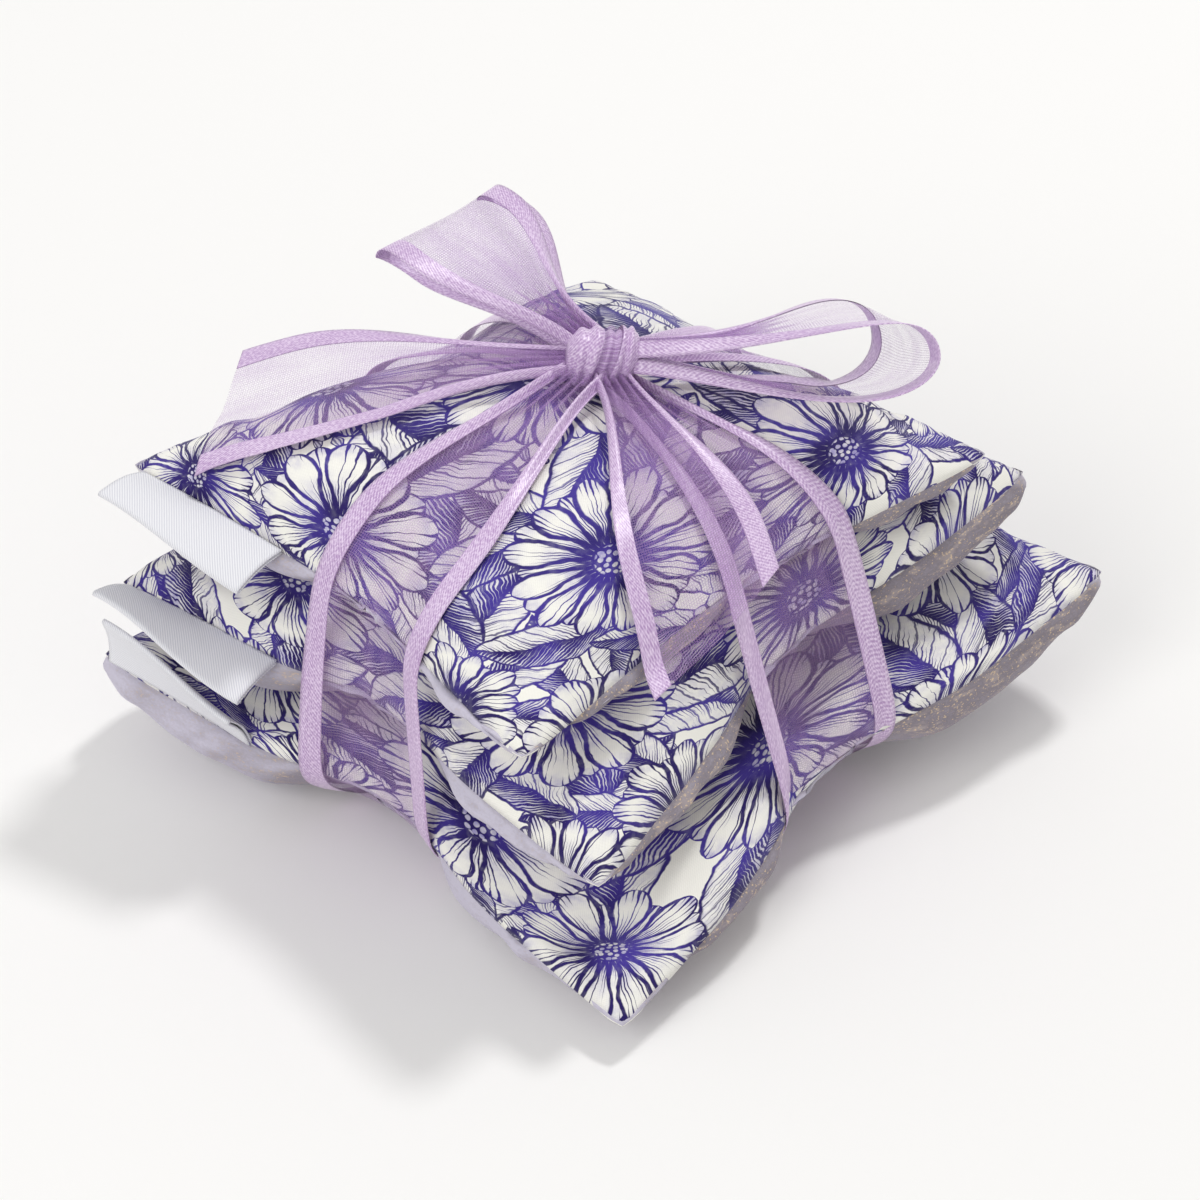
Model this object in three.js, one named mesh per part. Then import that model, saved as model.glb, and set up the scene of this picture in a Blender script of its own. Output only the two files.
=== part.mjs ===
// A gift bundle of three square lavender sachets, piled up and tied both ways with a sheer ribbon
// that ends in a bow. Millimetres, +Z up. The origin is the middle of the ribbon crossing that the
// bundle stands on; the sewn-in labels face -Y.
import * as THREE from "three";

// Sachets
const SACHET_SIDE = 102; // sewn size, seam to seam, laid flat
const CLOTH = 1.0; // wall of a panel
const SEAM_THREAD = 0.4; // height of the stitched line between the two panels
const DRAW_IN = 4.2; // how far stuffing pulls the middle of a side in
const PINCH_REACH = 16; // half length of side that the tie pinches
const CORNER_ROUND = 1.5; // how far a corner is turned in
const CORNER_ORDER = 12; // the higher, the shorter the round
const FULLNESS = 8; // how far a sachet would swell past its neighbour if it were free
const SIDE_BULGE = 6; // how far the back panel rolls out under the seam
const ROLL_ROOM = 9; // height of the seam that a full roll takes
const CINCH = 0.9; // share of that roll that the tie holds back
const CINCH_REACH = 13; // half width over which it does
const SOFTNESS = 3; // length over which a pressed face turns into a free one
const TIE_PRESS = 0.14; // share of the top crown that the tie presses down
const NET = 12; // cells along one side of a panel

// Ribbon
const RIBBON_WIDTH = 22;
const RIBBON_THICK = 0.5;
const BAND_PLACE = [4, -1.5]; // where the band along Y and the band along X go down the sides
const GATHERED_WIDTH = 7; // where the tied bands are drawn together at the knot
const ROOT_WIDTH = 4; // where the loops and tails come out of the knot
const GATHER_REACH = 42; // distance from the knot to full width
const BAND_LANES = 5; // lengthways lines of a tied band, each pulled taut for itself
const STATION = 6; // longest step along the upper side of a tied band
const SHORT_STEP = 0.4; // corners of a band nearer than this are one
const TAUT_SIDES = 48; // directions in which a tied band is pulled taut
const LOOP_STATIONS = 24;
const TAIL_STATIONS = 10;
const TAIL_EASE = 0.7; // how loosely a tail lies on the pile

// Knot
const KNOT_RADIUS = 4.6;
const KNOT_PLACE = [1.5, -1.5];
const ROOT_GAP = 0.5; // between the knot and the loops and tails

// Labels
const LABEL_LENGTH = 24.5;
const LABEL_WIDTH = 9; // folded in half
const LABEL_THICK = 1.0; // two layers of tape
const LABEL_BOW = 0.3; // how far the middle of a label arches
const LABEL_STATIONS = 6;

const GAP = 0.3; // clearance between touching pieces
const SEWN_EDGE = SEAM_THREAD / 2 + GAP; // from the seam line to the edge of a panel
const DEGREE = Math.PI / 180;

// One entry for each sachet, from the table up. spread is the share of the flat side that is left
// between stuffed corners along X and Y, pinch how far the tie pulls the middle of a side in, loft
// the thickness in the pile, lift the height of the left, front, right and back corners over the
// middle of the loft. The label starts at labelFrom along the side (-1 left, 1 front) and stands at
// labelTilt over level.
const SACHETS = [
  {
    name: "bottom", spread: [0.955, 0.99], pinch: 4.5, turn: 3, shift: [4.3, -4], loft: 16,
    lift: [4.5, -4.6, 11, 0], labelFrom: -0.96, labelTilt: 62,
  },
  {
    name: "middle", spread: [0.845, 0.905], pinch: 3, turn: 5, shift: [1.2, -6.5], loft: 18,
    lift: [2, -4, 9, -8], labelFrom: -0.96, labelTilt: 2,
  },
  {
    name: "top", spread: [0.78, 0.85], pinch: 1.2, turn: -2, shift: [-0.3, -7.8], loft: 16,
    lift: [-0.5, -3, 0.5, -13], labelFrom: -0.93, labelTilt: 8,
  },
];

// Bow: where the loops and tails point from the knot, their length, and the way their width faces.
// belly is how far the upper side of a loop swells, sag the share of it that the lower side has.
const LOOP_LEFT = { azimuth: 178, rise: 6, length: 34, belly: 5, sag: 0.2, across: [0, 1, 0] };
const LOOP_RIGHT = { azimuth: 44, rise: 6, length: 41, belly: 6, sag: 0.35, across: [0.84, -0.35, 0.42] };
const TAIL_LEFT = { end: [-38, -38, 47.5], across: [0.42, -0.84, -0.34], arch: 3 };
const TAIL_FRONT = { end: [39, -17.5, 42], across: [0.05, 0.91, 0.41], arch: 5 };

const CLOTH_PRINT = new THREE.MeshStandardMaterial({ color: 0x7d75b8, roughness: 0.9, metalness: 0 });
const CLOTH_BACK = new THREE.MeshStandardMaterial({ color: 0xa9a5b8, roughness: 0.7, metalness: 0 });
const THREAD = new THREE.MeshStandardMaterial({ color: 0xcfcbd8, roughness: 0.8, metalness: 0 });
const BUDS = new THREE.MeshStandardMaterial({ color: 0x6e6390, roughness: 1, metalness: 0 });
const TAPE = new THREE.MeshStandardMaterial({ color: 0xf1f1f4, roughness: 0.6, metalness: 0 });
const ORGANZA = new THREE.MeshStandardMaterial({ color: 0xc9a3d4, roughness: 0.4, metalness: 0 });

const clamp = (t, low, high) => Math.min(Math.max(t, low), high);
const mix = (a, b, t) => a + (b - a) * t;

function smoothstep(t) {
  const s = clamp(t, 0, 1);
  return s * s * (3 - 2 * s);
}

// The lower of two heights, rounded where they meet.
function softMin(a, b) {
  const h = clamp(0.5 + (0.5 * (b - a)) / SOFTNESS, 0, 1);
  return mix(b, a, h) - SOFTNESS * h * (1 - h);
}

const softMax = (a, b) => -softMin(-a, -b);

// A closed geometry from points and triangles.
function solid(points, triangles) {
  const geometry = new THREE.BufferGeometry();
  const flat = points.flatMap((p) => [p.x, p.y, p.z]);
  geometry.setAttribute("position", new THREE.Float32BufferAttribute(flat, 3));
  geometry.setIndex(triangles);
  geometry.computeVertexNormals();
  return geometry;
}

// Sachet shape

// A saddle of corner heights as the four terms of a bilinear sheet.
function sheetTerms([left, front, right, back]) {
  return {
    mean: (left + front + right + back) / 4,
    alongX: (front + right - left - back) / 4,
    alongY: (right + back - left - front) / 4,
    twist: (left + right - front - back) / 4,
  };
}

const slopeAt = (t, x, y) => t.alongX * x + t.alongY * y + t.twist * x * y;

// The face where two neighbours press on each other leans halfway between their corner sheets.
function contact(below, above, height) {
  const a = sheetTerms(below.lift);
  const b = sheetTerms(above.lift);
  const reach = [0, 1].map((k) => (SACHET_SIDE * (below.spread[k] + above.spread[k])) / 4);
  return (x, y) => {
    const u = clamp(x / reach[0], -1.2, 1.2);
    const v = clamp(y / reach[1], -1.2, 1.2);
    return height + (slopeAt(a, u, v) + slopeAt(b, u, v)) / 2;
  };
}

// How a stuffed square swells: 1 in the middle, 0 along the seam, pointed at the corners.
const crown = (u, v) => Math.sqrt(Math.max((1 - u * u) * (1 - v * v), 0));

// How close a plan position is to a tied band: 1 under its middle line, 0 away from it.
const underBand = (place, reach, order) =>
  Math.max(...place.map((t, k) => Math.exp(-(((t - BAND_PLACE[k]) / reach) ** order))));

// Net values -1 to 1, closer together towards the seam.
const netValue = (i) => Math.sin((Math.PI / 2) * ((2 * i) / NET - 1));

// The functions that give a sachet's shape: the seam sheet, and the two faces as heights over it.
// floor and ceiling are heights over a plan position.
function shapeOf(spec, middle, floor, ceiling) {
  const [halfX, halfY] = spec.spread.map((share) => (SACHET_SIDE * share) / 2);
  const half = Math.min(halfX, halfY);
  const terms = sheetTerms(spec.lift);
  const cos = Math.cos(spec.turn * DEGREE);
  const sin = Math.sin(spec.turn * DEGREE);
  const inset = (t) => (1 - t * t) * (DRAW_IN + spec.pinch * Math.exp(-(((t * half) / PINCH_REACH) ** 2)));
  const level = (u, v, share = 1) => {
    const round = CORNER_ROUND * (u * v) ** CORNER_ORDER;
    const x = share * u * (halfX - inset(v) - round);
    const y = share * v * (halfY - inset(u) - round);
    return [cos * x - sin * y + spec.shift[0], sin * x + cos * y + spec.shift[1]];
  };
  const freedom = (u, v) => 1 - CINCH * (1 - crown(u, v)) * underBand(level(u, v), CINCH_REACH, 4);
  const seam = (u, v) => middle + terms.mean + slopeAt(terms, u, v);
  const plan = (u, v, share = 1, bulge = 0) => {
    const room = clamp((seam(u, v) - floor(...level(u, v))) / ROLL_ROOM, 0, 1);
    const roll = 1 + (4 * bulge * room * freedom(u, v) * crown(u, v) * (1 - crown(u, v))) / half;
    return level(u, v, share).map((t, k) => mix(spec.shift[k], t, roll));
  };
  const rise = spec.loft / 2 - terms.mean - SEWN_EDGE;
  const drop = spec.loft / 2 + terms.mean - SEWN_EDGE;
  const upper = (u, v) => {
    const [x, y] = plan(u, v);
    if (!ceiling) {
      const press = underBand([x, y], RIBBON_WIDTH / 2, 2);
      return SEWN_EDGE + rise * crown(u, v) * (1 + TIE_PRESS * (1 - press));
    }
    const free = SEWN_EDGE + (rise + FULLNESS) * crown(u, v);
    return Math.max(softMin(free, ceiling(x, y) - GAP / 2 - seam(u, v)), SEWN_EDGE);
  };
  const lower = (u, v) => {
    const [x, y] = plan(u, v, 1, SIDE_BULGE);
    const free = -SEWN_EDGE - (drop + FULLNESS) * crown(u, v) * freedom(u, v);
    return Math.min(softMax(free, floor(x, y) + GAP / 2 - seam(u, v)), -SEWN_EDGE);
  };
  return { half, plan, seam, upper, lower, rise, drop };
}

// A net of points over the sachet. height is over the seam sheet, share draws the net in towards
// the middle and bulge rolls its sides out.
function netPoints(shape, height, share = 1, bulge = 0) {
  const points = [];
  for (let j = 0; j <= NET; j++) {
    for (let i = 0; i <= NET; i++) {
      const u = netValue(i);
      const v = netValue(j);
      const [x, y] = shape.plan(u, v, share, bulge);
      points.push(new THREE.Vector3(x, y, shape.seam(share * u, share * v) + height(u, v)));
    }
  }
  return points;
}

const netIndex = (i, j) => j * (NET + 1) + i;

// Triangles of a net that starts at point first, seen from above, or from below when turned.
function netFaces(first, turned) {
  const faces = [];
  for (let j = 0; j < NET; j++) {
    for (let i = 0; i < NET; i++) {
      const [a, b] = [first + netIndex(i, j), first + netIndex(i + 1, j)];
      const [c, d] = [first + netIndex(i + 1, j + 1), first + netIndex(i, j + 1)];
      faces.push(...(turned ? [a, c, b, a, d, c] : [a, b, c, a, c, d]));
    }
  }
  return faces;
}

// The net's outer ring of points, counter-clockwise from above.
function netRim() {
  const rim = [];
  for (let i = 0; i < NET; i++) rim.push(netIndex(i, 0));
  for (let j = 0; j < NET; j++) rim.push(netIndex(NET, j));
  for (let i = NET; i > 0; i--) rim.push(netIndex(i, NET));
  for (let j = NET; j > 0; j--) rim.push(netIndex(0, j));
  return rim;
}

// Joins two rings of points by a band of quads; outward when the first ring lies below the second.
function bandFaces(low, high) {
  return low.flatMap((a, k) => {
    const n = (k + 1) % low.length;
    return [a, low[n], high[n], a, high[n], high[k]];
  });
}

// One panel: an outer face, an inner face a cloth's thickness in, and the edge that is sewn.
function panel(shape, side) {
  const up = side > 0;
  const outer = up ? shape.upper : shape.lower;
  const room = up ? shape.rise : shape.drop;
  const lift = (share) => (u, v) => mix(side * SEWN_EDGE, outer(u, v), share);
  const bulge = up ? 0 : SIDE_BULGE;
  const hollow = 1 - CLOTH / room;
  const points = [
    ...netPoints(shape, lift(1), 1, bulge),
    ...netPoints(shape, lift(hollow), 1 - CLOTH / shape.half, hollow * bulge),
  ];
  const inner = points.length / 2;
  const rim = netRim();
  const innerRim = rim.map((p) => p + inner);
  const sewn = up ? bandFaces(innerRim, rim) : bandFaces(rim, innerRim);
  return solid(points, [...netFaces(0, !up), ...netFaces(inner, up), ...sewn]);
}

// The stitched line that joins the two panels: a flat ring between their edges.
function seamRing(shape) {
  const inner = 1 - CLOTH / shape.half;
  const rim = netRim();
  const ring = (share, dz) => {
    const net = netPoints(shape, () => dz, share);
    return rim.map((k) => net[k]);
  };
  const h = SEAM_THREAD / 2;
  const points = [...ring(1, -h), ...ring(1, h), ...ring(inner, h), ...ring(inner, -h)];
  const rows = [0, 1, 2, 3].map((r) => rim.map((_, k) => r * rim.length + k));
  return solid(points, rows.flatMap((row, r) => bandFaces(row, rows[(r + 1) % 4])));
}

// The dried buds: the space inside the panels, less a clearance.
function fill(shape) {
  const inset = CLOTH + GAP + SEAM_THREAD;
  const share = 1 - inset / shape.half;
  const [above, under] = [shape.rise, shape.drop].map((room) => 1 - inset / room);
  const points = [
    ...netPoints(shape, (u, v) => above * (shape.upper(u, v) - SEWN_EDGE), share),
    ...netPoints(shape, (u, v) => under * (shape.lower(u, v) + SEWN_EDGE), share, under * SIDE_BULGE),
  ];
  const lower = points.length / 2;
  const rim = netRim();
  const below = new Set(rim.map((p) => p + lower));
  const joined = (p) => (below.has(p) ? p - lower : p); // both faces share the rim
  return solid(points, [...netFaces(0, false), ...netFaces(lower, true).map(joined)]);
}

// Ribbon shape

// A strip of ribbon through centres, with half its width given at each as a vector.
function strip(centres, halves, thick) {
  const points = [];
  const last = centres.length - 1;
  for (let i = 0; i <= last; i++) {
    const along = centres[Math.min(i + 1, last)].clone().sub(centres[Math.max(i - 1, 0)]);
    const normal = along.cross(halves[i]).setLength(thick / 2);
    for (const [side, face] of [[-1, -1], [1, -1], [1, 1], [-1, 1]]) {
      points.push(centres[i].clone().addScaledVector(halves[i], side).addScaledVector(normal, face));
    }
  }
  const rows = centres.map((_, i) => [0, 1, 2, 3].map((k) => 4 * i + k));
  const faces = rows.slice(1).flatMap((row, i) => bandFaces(rows[i], row));
  const [a, b] = [rows[0], rows[last]];
  faces.push(a[0], a[2], a[1], a[0], a[3], a[2], b[0], b[1], b[2], b[0], b[2], b[3]);
  return solid(points, faces);
}

// Where the faces of some geometries lie between two planes, as positions along the band and height.
function section(geometries, axis, low, high) {
  const across = 1 - axis;
  const found = [];
  for (const geometry of geometries) {
    const place = geometry.getAttribute("position");
    const corner = (k) => new THREE.Vector3().fromBufferAttribute(place, geometry.index.getX(k));
    for (let k = 0; k < geometry.index.count; k++) {
      const p = corner(k);
      const q = corner(k % 3 === 2 ? k - 2 : k + 1);
      const [from, to] = [p.getComponent(across), q.getComponent(across)];
      if (from >= low && from <= high) found.push(p);
      for (const plane of [low, high]) {
        if ((from - plane) * (to - plane) < 0) found.push(p.clone().lerp(q, (plane - from) / (to - from)));
      }
    }
  }
  return found.map((p) => [p.getComponent(axis), p.z]);
}

// The corners of the taut line round some points, a distance off them: one after each direction.
function tautCorners(points, distance) {
  const turn = (2 * Math.PI) / TAUT_SIDES;
  const facing = Array.from({ length: TAUT_SIDES }, (_, k) => [Math.cos(k * turn), Math.sin(k * turn)]);
  const reach = facing.map(([c, s]) => Math.max(...points.map(([t, z]) => c * t + s * z)) + distance);
  return facing.map(([c, s], k) => {
    const slide = (reach[(k + 1) % TAUT_SIDES] - reach[k] * Math.cos(turn)) / Math.sin(turn);
    return [reach[k] * c - slide * s, reach[k] * s + slide * c];
  });
}

// Taut lines whose flat stretch on the table ends at the same two places in each, so they stand level.
function standLevel(lines) {
  const down = (3 * TAUT_SIDES) / 4; // the direction that faces the table
  const from = Math.min(...lines.map((line) => line[down - 1][0]));
  const to = Math.max(...lines.map((line) => line[down][0]));
  return lines.map((line) => line.with(down - 1, [from, line[down - 1][1]]).with(down, [to, line[down][1]]));
}

// The lanes of a band as shares of its half width, where one lies across the band, gathered (0) or
// spread (1), and the slab of the pile between its neighbours, which it is pulled taut over.
const LANE_STEP = 2 / (BAND_LANES - 1);
const LANES = Array.from({ length: BAND_LANES }, (_, k) => k * LANE_STEP - 1);

function laneAt(across, lane, spread) {
  const half = mix(GATHERED_WIDTH, RIBBON_WIDTH, spread) / 2;
  return mix(KNOT_PLACE[across], BAND_PLACE[across], spread) + lane * half;
}

function laneSlab(across, lane) {
  const [before, after] = [-1, 1].map((way) => clamp(lane + way * LANE_STEP, -1, 1));
  const low = Math.min(laneAt(across, before, 0), laneAt(across, before, 1));
  const high = Math.max(laneAt(across, after, 0), laneAt(across, after, 1));
  return [low - GAP, high + GAP];
}

// A band tied round some pieces. axis 0 runs along X and axis 1 along Y.
function tiedBand(geometries, axis) {
  const across = 1 - axis;
  const slabs = LANES.map((lane) => section(geometries, axis, ...laneSlab(across, lane)));
  const settle = axis === 1 ? standLevel : (lines) => lines; // the band along Y is the one on the table
  const lines = (distance) => settle(slabs.map((slab) => tautCorners(slab, distance)));
  const [inside, outside] = [lines(GAP), lines(GAP + RIBBON_THICK)];
  const top = Math.max(...outside.flat().map(([, z]) => z));
  const spreadAt = ([t, z]) => (z > top / 2 ? smoothstep(Math.abs(t - KNOT_PLACE[axis]) / GATHER_REACH) : 1);
  const stationAt = (k, share) => {
    const n = (k + 1) % TAUT_SIDES;
    const point = (line, lane) => {
      const spot = [0, 1].map((c) => mix(line[k][c], line[n][c], share));
      const side = laneAt(across, lane, spreadAt(spot));
      return new THREE.Vector3().setComponent(axis, spot[0]).setComponent(across, side).setZ(spot[1]);
    };
    const ring = [
      ...LANES.map((lane, i) => point(inside[i], lane)),
      ...LANES.map((lane, i) => point(outside[i], lane)).reverse(),
    ];
    return axis === 0 ? ring.reverse() : ring; // keeps the faces outward
  };
  const rings = [];
  for (let k = 0; k < TAUT_SIDES; k++) {
    const steps = outside.map((line) => {
      const [p, q] = [line[k], line[(k + 1) % TAUT_SIDES]];
      return { length: Math.hypot(q[0] - p[0], q[1] - p[1]), high: Math.min(p[1], q[1]) > top / 2 };
    });
    const longest = Math.max(...steps.map((step) => step.length));
    if (longest < SHORT_STEP) continue;
    const count = steps.some((step) => step.high) ? Math.ceil(longest / STATION) : 1;
    for (let n = 0; n < count; n++) rings.push(stationAt(k, n / count));
  }
  const size = 2 * BAND_LANES;
  const rows = rings.map((_, r) => Array.from({ length: size }, (_, k) => r * size + k));
  const faces = rows.flatMap((row, r) => bandFaces(row, rows[(r + 1) % rows.length]));
  return { top, geometry: solid(rings.flat(), faces) };
}

const ROOT = KNOT_RADIUS + ROOT_GAP; // loops and tails start here, measured from the knot's middle

// A bow loop: out from the knot, round and back, drawn together at the knot.
function bowLoop(knot, { azimuth, rise, length, belly, sag, across }) {
  const out = new THREE.Vector3(
    Math.cos(rise * DEGREE) * Math.cos(azimuth * DEGREE),
    Math.cos(rise * DEGREE) * Math.sin(azimuth * DEGREE),
    Math.sin(rise * DEGREE),
  );
  const wide = new THREE.Vector3(...across);
  const over = wide.clone().cross(out);
  wide.divideScalar(over.length()); // a slanted ribbon keeps its width
  over.normalize();
  if (over.z < 0) over.negate();
  const centres = [];
  const halves = [];
  for (let i = 0; i <= LOOP_STATIONS; i++) {
    const t = (Math.PI * i) / LOOP_STATIONS;
    const reach = mix(ROOT, length, Math.sin(t) ** 0.8);
    const swing = belly * Math.sin(2 * t) * Math.sin(t) * (i * 2 > LOOP_STATIONS ? sag : 1);
    const swell = 2 * RIBBON_THICK * Math.cos(t) + swing;
    centres.push(knot.clone().addScaledVector(out, reach).addScaledVector(over, swell));
    const width = mix(ROOT_WIDTH, RIBBON_WIDTH, smoothstep(1.25 * Math.sin(t)));
    halves.push(wide.clone().multiplyScalar(width / 2));
  }
  return strip(centres, halves, RIBBON_THICK);
}

// The height of the highest face of some geometries over a plan position.
function heightOver(geometries, x, y) {
  let highest = -Infinity;
  const [a, b, c] = [new THREE.Vector3(), new THREE.Vector3(), new THREE.Vector3()];
  const cross = (p, q) => (q.x - p.x) * (y - p.y) - (q.y - p.y) * (x - p.x);
  for (const geometry of geometries) {
    const place = geometry.getAttribute("position");
    for (let k = 0; k < geometry.index.count; k += 3) {
      [a, b, c].forEach((p, n) => p.fromBufferAttribute(place, geometry.index.getX(k + n)));
      const [u, v, w] = [cross(b, c), cross(c, a), cross(a, b)];
      const sum = u + v + w;
      if (sum > 0 && u >= 0 && v >= 0 && w >= 0) {
        highest = Math.max(highest, (u * a.z + v * b.z + w * c.z) / sum);
      }
    }
  }
  return highest;
}

// Where a station of a tail is held clear: shares of its half width and of the step to the next.
const TAIL_SPOTS = [-0.5, 0, 0.5].flatMap((step) =>
  [-1, -0.75, -0.5, -0.25, 0, 0.25, 0.5, 0.75, 1].map((side) => [side, step]),
);

// A free end of the ribbon: from the knot to its cut, laid over what lies under it.
function ribbonTail(knot, under, { end, across, arch }) {
  const last = new THREE.Vector3(...end);
  const out = last.clone().sub(knot).normalize();
  const first = knot.clone().addScaledVector(out, ROOT);
  const stride = last.clone().sub(first).divideScalar(TAIL_STATIONS);
  const wide = new THREE.Vector3(...across).normalize();
  const level = new THREE.Vector3(-out.y, out.x, 0).normalize();
  if (level.dot(wide) < 0) level.negate();
  const centres = [];
  const halves = [];
  for (let i = 0; i <= TAIL_STATIONS; i++) {
    const t = i / TAIL_STATIONS;
    const place = first.clone().lerp(last, t);
    place.z += arch * Math.sin(Math.PI * t);
    const width = mix(ROOT_WIDTH, RIBBON_WIDTH, smoothstep(1.2 * t));
    const half = level.clone().lerp(wide, smoothstep(t)).setLength(width / 2);
    const short = TAIL_SPOTS.map(([side, step]) => {
      const spot = place.clone().addScaledVector(half, side).addScaledVector(stride, step);
      return heightOver(under, spot.x, spot.y) + RIBBON_THICK / 2 + TAIL_EASE - spot.z;
    });
    place.z += Math.max(0, ...short);
    centres.push(place);
    halves.push(half);
  }
  return strip(centres, halves, RIBBON_THICK);
}

// A folded label, along a sachet's front seam.
function label(shape, { labelFrom, labelTilt }) {
  const at = (u) => new THREE.Vector3(...shape.plan(u, -1), shape.seam(u, -1));
  const start = at(labelFrom);
  let share = labelFrom;
  while (at(share).distanceTo(start) < LABEL_LENGTH) share += 0.01;
  const along = at(share).sub(start).normalize();
  const level = new THREE.Vector3(along.y, -along.x, 0).normalize();
  const up = level.clone().cross(along).normalize();
  const tilt = labelTilt * DEGREE;
  const out = level.clone().multiplyScalar(Math.cos(tilt)).addScaledVector(up, Math.sin(tilt));
  const root = start.clone().addScaledVector(level, LABEL_THICK / 2 + GAP).addScaledVector(up, SEWN_EDGE);
  const arch = along.clone().cross(out);
  const centres = [];
  const halves = [];
  for (let i = 0; i <= LABEL_STATIONS; i++) {
    const t = i / LABEL_STATIONS;
    const bow = LABEL_BOW * Math.sin(Math.PI * t);
    centres.push(
      root.clone().addScaledVector(along, LABEL_LENGTH * t).addScaledVector(out, LABEL_WIDTH / 2)
        .addScaledVector(arch, bow),
    );
    halves.push(out.clone().multiplyScalar(LABEL_WIDTH / 2));
  }
  return { geometry: strip(centres, halves, LABEL_THICK), root, along };
}

// Assembly

const bundle = new THREE.Group();

function add(name, geometry, material) {
  const mesh = new THREE.Mesh(geometry, material);
  mesh.name = name;
  bundle.add(mesh);
  return mesh;
}

const underRibbon = 2 * (RIBBON_THICK + GAP); // two layers of ribbon lie under the pile
const floors = [];
SACHETS.reduce((height, spec) => {
  floors.push(height);
  return height + spec.loft;
}, underRibbon);

const shapes = SACHETS.map((spec, k) => {
  const floor = k === 0 ? () => underRibbon - GAP / 2 : contact(SACHETS[k - 1], spec, floors[k]);
  const ceiling = k < SACHETS.length - 1 && contact(spec, SACHETS[k + 1], floors[k + 1]);
  return shapeOf(spec, floors[k] + spec.loft / 2, floor, ceiling);
});

const panels = [];
SACHETS.forEach((spec, k) => {
  const shape = shapes[k];
  const piece = `sachet_${spec.name}`;
  panels.push(panel(shape, 1), panel(shape, -1));
  add(`${piece}_print_panel`, panels[2 * k], CLOTH_PRINT);
  add(`${piece}_back_panel`, panels[2 * k + 1], CLOTH_BACK);
  add(`${piece}_seam`, seamRing(shape), THREAD);
  add(`${piece}_lavender_fill`, fill(shape), BUDS);
  const tab = label(shape, spec);
  add(`${piece}_label`, tab.geometry, TAPE).userData.hinge = { at: tab.root, axis: tab.along };
});

const inner = tiedBand(panels, 0);
const outer = tiedBand([...panels, inner.geometry], 1);
add("ribbon_wrap_crossways", inner.geometry, ORGANZA);
add("ribbon_wrap_lengthways", outer.geometry, ORGANZA);

const knot = new THREE.Vector3(...KNOT_PLACE, outer.top + GAP + KNOT_RADIUS);
const ball = new THREE.SphereGeometry(KNOT_RADIUS, 16, 10);
add("bow_knot", ball.rotateX(Math.PI / 2).translate(knot.x, knot.y, knot.z), ORGANZA);
add("bow_loop_left", bowLoop(knot, LOOP_LEFT), ORGANZA);
add("bow_loop_right", bowLoop(knot, LOOP_RIGHT), ORGANZA);
const under = [...panels, inner.geometry, outer.geometry];
add("ribbon_tail_left", ribbonTail(knot, under, TAIL_LEFT), ORGANZA);
add("ribbon_tail_front", ribbonTail(knot, under, TAIL_FRONT), ORGANZA);

export default bundle;
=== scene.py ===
import bpy
import math
import numpy as np
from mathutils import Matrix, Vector


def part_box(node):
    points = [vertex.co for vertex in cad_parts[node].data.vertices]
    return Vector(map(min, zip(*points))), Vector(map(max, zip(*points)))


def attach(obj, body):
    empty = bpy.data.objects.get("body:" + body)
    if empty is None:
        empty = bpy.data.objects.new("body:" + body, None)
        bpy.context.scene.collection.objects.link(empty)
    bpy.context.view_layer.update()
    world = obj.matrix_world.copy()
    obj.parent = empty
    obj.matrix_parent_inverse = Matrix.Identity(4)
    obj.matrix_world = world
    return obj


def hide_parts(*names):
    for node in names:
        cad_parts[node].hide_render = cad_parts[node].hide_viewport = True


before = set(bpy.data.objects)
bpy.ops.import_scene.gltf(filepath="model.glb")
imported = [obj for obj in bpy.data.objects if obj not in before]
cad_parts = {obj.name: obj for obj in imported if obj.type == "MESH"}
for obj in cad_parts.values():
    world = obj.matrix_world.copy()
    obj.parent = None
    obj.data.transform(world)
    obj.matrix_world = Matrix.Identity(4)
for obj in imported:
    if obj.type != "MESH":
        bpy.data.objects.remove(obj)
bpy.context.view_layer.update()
scene = bpy.context.scene
scene.view_settings.view_transform = "Standard"
scene.cycles.transparent_max_bounces = 32  # many sheer layers lie over each other
mm = 0.001


# Camera: three quarters from the label side, as in the photograph
view = dict(azimuth=45, elevation=40, target=(2, -2, 15), distance=800, lens=175.2, shift=(-0.0025, 0.01))


def stand(name, data, place, back):  # a camera or lamp at a place in metres, with its back turned that way
    made = bpy.data.objects.new(name, data)
    made.location, made.rotation_mode = place, "QUATERNION"
    made.rotation_quaternion = back.to_track_quat("Z", "Y")
    scene.collection.objects.link(made)
    return made


def placeCamera(spec):
    turn, tilt = math.radians(spec["azimuth"]), math.radians(spec["elevation"])
    back = Vector((math.sin(turn) * math.cos(tilt), -math.cos(turn) * math.cos(tilt), math.sin(tilt)))
    data = bpy.data.cameras.new("camera")
    data.lens, data.sensor_width = spec["lens"], 36
    data.shift_x, data.shift_y = spec["shift"]
    data.clip_start, data.clip_end = 0.05, 50
    scene.camera = stand("camera", data, (Vector(spec["target"]) + back * spec["distance"]) * mm, back)


placeCamera(view)
print("camera placed")


# Shader maths: a wire is one output of a node, and sums on it add Math nodes
def maths(operation, turned=False):
    def method(wire, *others):
        return wire.finish.sum(operation, *((*others, wire) if turned else (wire, *others)))

    return method


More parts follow.
